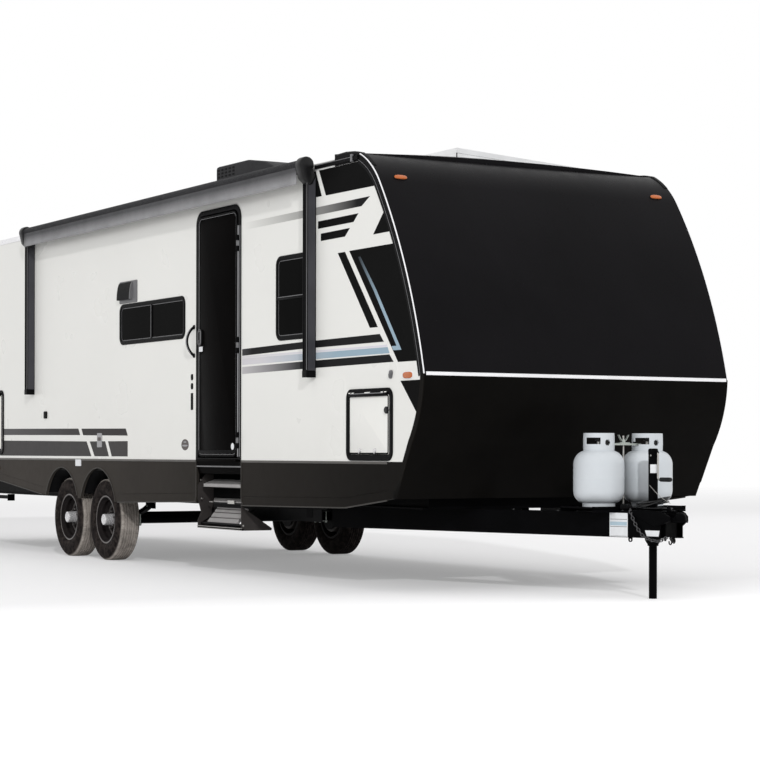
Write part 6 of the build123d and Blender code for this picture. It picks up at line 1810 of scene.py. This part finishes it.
class CARAVAN_OT_fittings(bpy.types.Operator):
    """Make the lamps, service covers, range-hood vent, dark covers, badges and plates"""
    bl_idname = "caravan.fittings"
    bl_label = "Lamps and fittings"

    def execute(self, context):
        amber, red, bases, white, vents, dark, badge, plates = patches(8)
        for side in (-1, 1):
            marker_lamp(amber, white, (at(0.2), 1.407), side, (0.056, 0.021))
            marker_lamp(amber, bases, (at(7.68), 0.758), side, (0.033, 0.018))
        for y in (-1.05, 1.05):
            brow_lamp(amber, bases, y)
        for y in (-0.15, 0.0, 0.15, -1.08, 1.08):
            lens_dome(red, lens_outline((y, 2.78), (0.048, 0.015)), REAR, -1, 0.015, "cross")
        for y in (-1.08, 1.08):
            pillow(bases, (y - 0.075, 0.895), (y + 0.075, 1.125), 0.02, REAR, REAR - 0.014, 0.004, "cross")
            for z, high, patch in ((0.905, 0.06, white), (0.972, 0.143, red)):
                pillow(patch, (y - 0.066, z), (y + 0.066, z + high), 0.012, REAR - 0.012, REAR - 0.033, 0.006, "cross")
        pillow(dark, (at(6.506), 1.208), (at(6.44), 1.272), 0.013, -HALF, -HALF - 0.012, 0.003)
        for front, rear, low, high in ROAD_COVERS:
            pillow(white, (at(rear), low), (at(front), high), 0.013, HALF, HALF + 0.012, 0.003)
            for z in np.arange(low + 0.03, high - 0.03, 0.022):
                pillow(white, (at(rear) + 0.03, z), (at(front) - 0.03, z + 0.01), 0.003,
                       HALF + 0.011, HALF + 0.0138, 0.0015)
        range_vent(vents, dark, at(4.818), at(4.462), 2.152, 2.31)
        pillow(dark, (-0.855, 0.88), (-0.545, 1.04), 0.008, REAR, REAR - 0.006, 0.002, "cross")
        pillow(dark, (-4.198, 1.236), (-4.158, 1.366), 0.006, -HALF, -HALF - 0.003, 0.001)
        for z in (1.418, 1.488):
            lens_dome(dark, lens_outline((-4.178, z), (0.02, 0.024)), -HALF, -1, 0.006)
        spot = circle(1, 40) * (0.066, 0.043)
        slab(badge, spot + (-4.303, 0.969), -HALF + 0.001, -HALF - 0.0012)
        for shape, z in (((0.78, 0.16), 0.962), ((0.4, 0.12), 0.99)):
            slab(plates, spot * shape + (-4.303, z), -HALF - 0.0005, -HALF - 0.0018)
        pillow(plates, (-6.045, 0.95), (-5.945, 1.07), 0.01, -HALF, -HALF - 0.006, 0.002)
        pillow(badge, (-6.03, 1.005), (-5.96, 1.035), 0.006, -HALF - 0.005, -HALF - 0.0075, 0.001)
        dress(badge, "wall_badges", "badge_brown")
        dress(plates, "wall_plates", "line_grey")
        dress(amber, "amber_lenses", "lens_amber", covers=("lamps",))
        dress(red, "red_lenses", "lens_red")
        dress(bases, "lamp_bases", "moulded_black")
        dress(white, "white_covers", "cover_white", covers=("service_covers",))
        dress(vents, "range_vent", "vent_grey")
        dress(dark, "dark_covers", "moulded_black")
        return {"FINISHED"}


# ---- running gear
class CARAVAN_OT_running_gear(bpy.types.Operator):
    """Add the spring leaves, their clamps and plates, and hanger bolts"""
    bl_idname = "caravan.running_gear"
    bl_label = "Running gear"

    def execute(self, context):
        leaves, clamps = patches(2)
        for x, y in ((at(back), side * 0.9) for back in AXLES_BACK.values() for side in (-1, 1)):
            for layer, reach in enumerate((0.326, 0.25, 0.175, 0.11)):
                along = np.linspace(-reach, reach, 25)
                top = 0.408 + 0.082 * (along / 0.33) ** 2 - layer * 0.0065
                carry(leaves, mm((-23.2, -2.8), (23.2, -2.8), (23.2, 2.8), (-23.2, 2.8)), spread(x + along, y, top))
            for dx in (-0.045, 0.045):
                for dy in (-0.03, 0.03):
                    rod(clamps, (x + dx, y + dy, 0.295), (x + dx, y + dy, 0.425), 0.006, 8)
                    bolt(clamps, (x + dx, y + dy, 0.297), (0, 0, -1), 0.01, 0.01)
            box(clamps, (x - 0.06, y - 0.038, 0.298), (x + 0.06, y + 0.038, 0.306))
            for dx in (-0.33, 0.33):
                for way in (-1, 1):
                    bolt(clamps, (x + dx, y + way * 0.031, 0.462), (0, way, 0), 0.01, 0.006)
        dress(leaves, "spring_leaves", "enamel_black")
        dress(clamps, "spring_clamps", "zinc_plate")
        return {"FINISHED"}


OPERATORS = (CARAVAN_OT_stage, CARAVAN_OT_cable, CARAVAN_OT_frame_finishes, CARAVAN_OT_nose, CARAVAN_OT_graphics,
             CARAVAN_OT_windows, CARAVAN_OT_entry, CARAVAN_OT_bays, CARAVAN_OT_awning, CARAVAN_OT_skirts,
             CARAVAN_OT_wheels, CARAVAN_OT_bottles, CARAVAN_OT_tongue, CARAVAN_OT_steps, CARAVAN_OT_roof,
             CARAVAN_OT_fittings, CARAVAN_OT_running_gear)


class CARAVAN_PT_panel(bpy.types.Panel):
    """Sidebar panel with the caravan's settings and steps"""
    bl_idname = "CARAVAN_PT_panel"
    bl_label = "Caravan"
    bl_space_type = "VIEW_3D"
    bl_region_type = "UI"
    bl_category = "Caravan"

    def draw(self, context):
        column = self.layout.column()
        for group in (context.scene.caravan_colours, context.scene.caravan_sizes):
            for name in group.__annotations__:
                column.prop(group, name)
        for operator in OPERATORS:
            column.operator(operator.bl_idname)


CLASSES = (CaravanColours, CaravanSizes, *OPERATORS, CARAVAN_PT_panel)


def register():
    """Register the settings, the operators and the panel."""
    for item in CLASSES:
        bpy.utils.register_class(item)
    bpy.types.Scene.caravan_colours = bpy.props.PointerProperty(type=CaravanColours)
    bpy.types.Scene.caravan_sizes = bpy.props.PointerProperty(type=CaravanSizes)


def unregister():
    """Remove the settings, the operators and the panel."""
    del bpy.types.Scene.caravan_sizes
    del bpy.types.Scene.caravan_colours
    for item in reversed(CLASSES):
        bpy.utils.unregister_class(item)


def main():
    """Register the add-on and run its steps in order."""
    register()
    for operator in OPERATORS:
        group, name = operator.bl_idname.split(".")
        getattr(getattr(bpy.ops, group), name)()


if __name__ == "__main__":
    main()
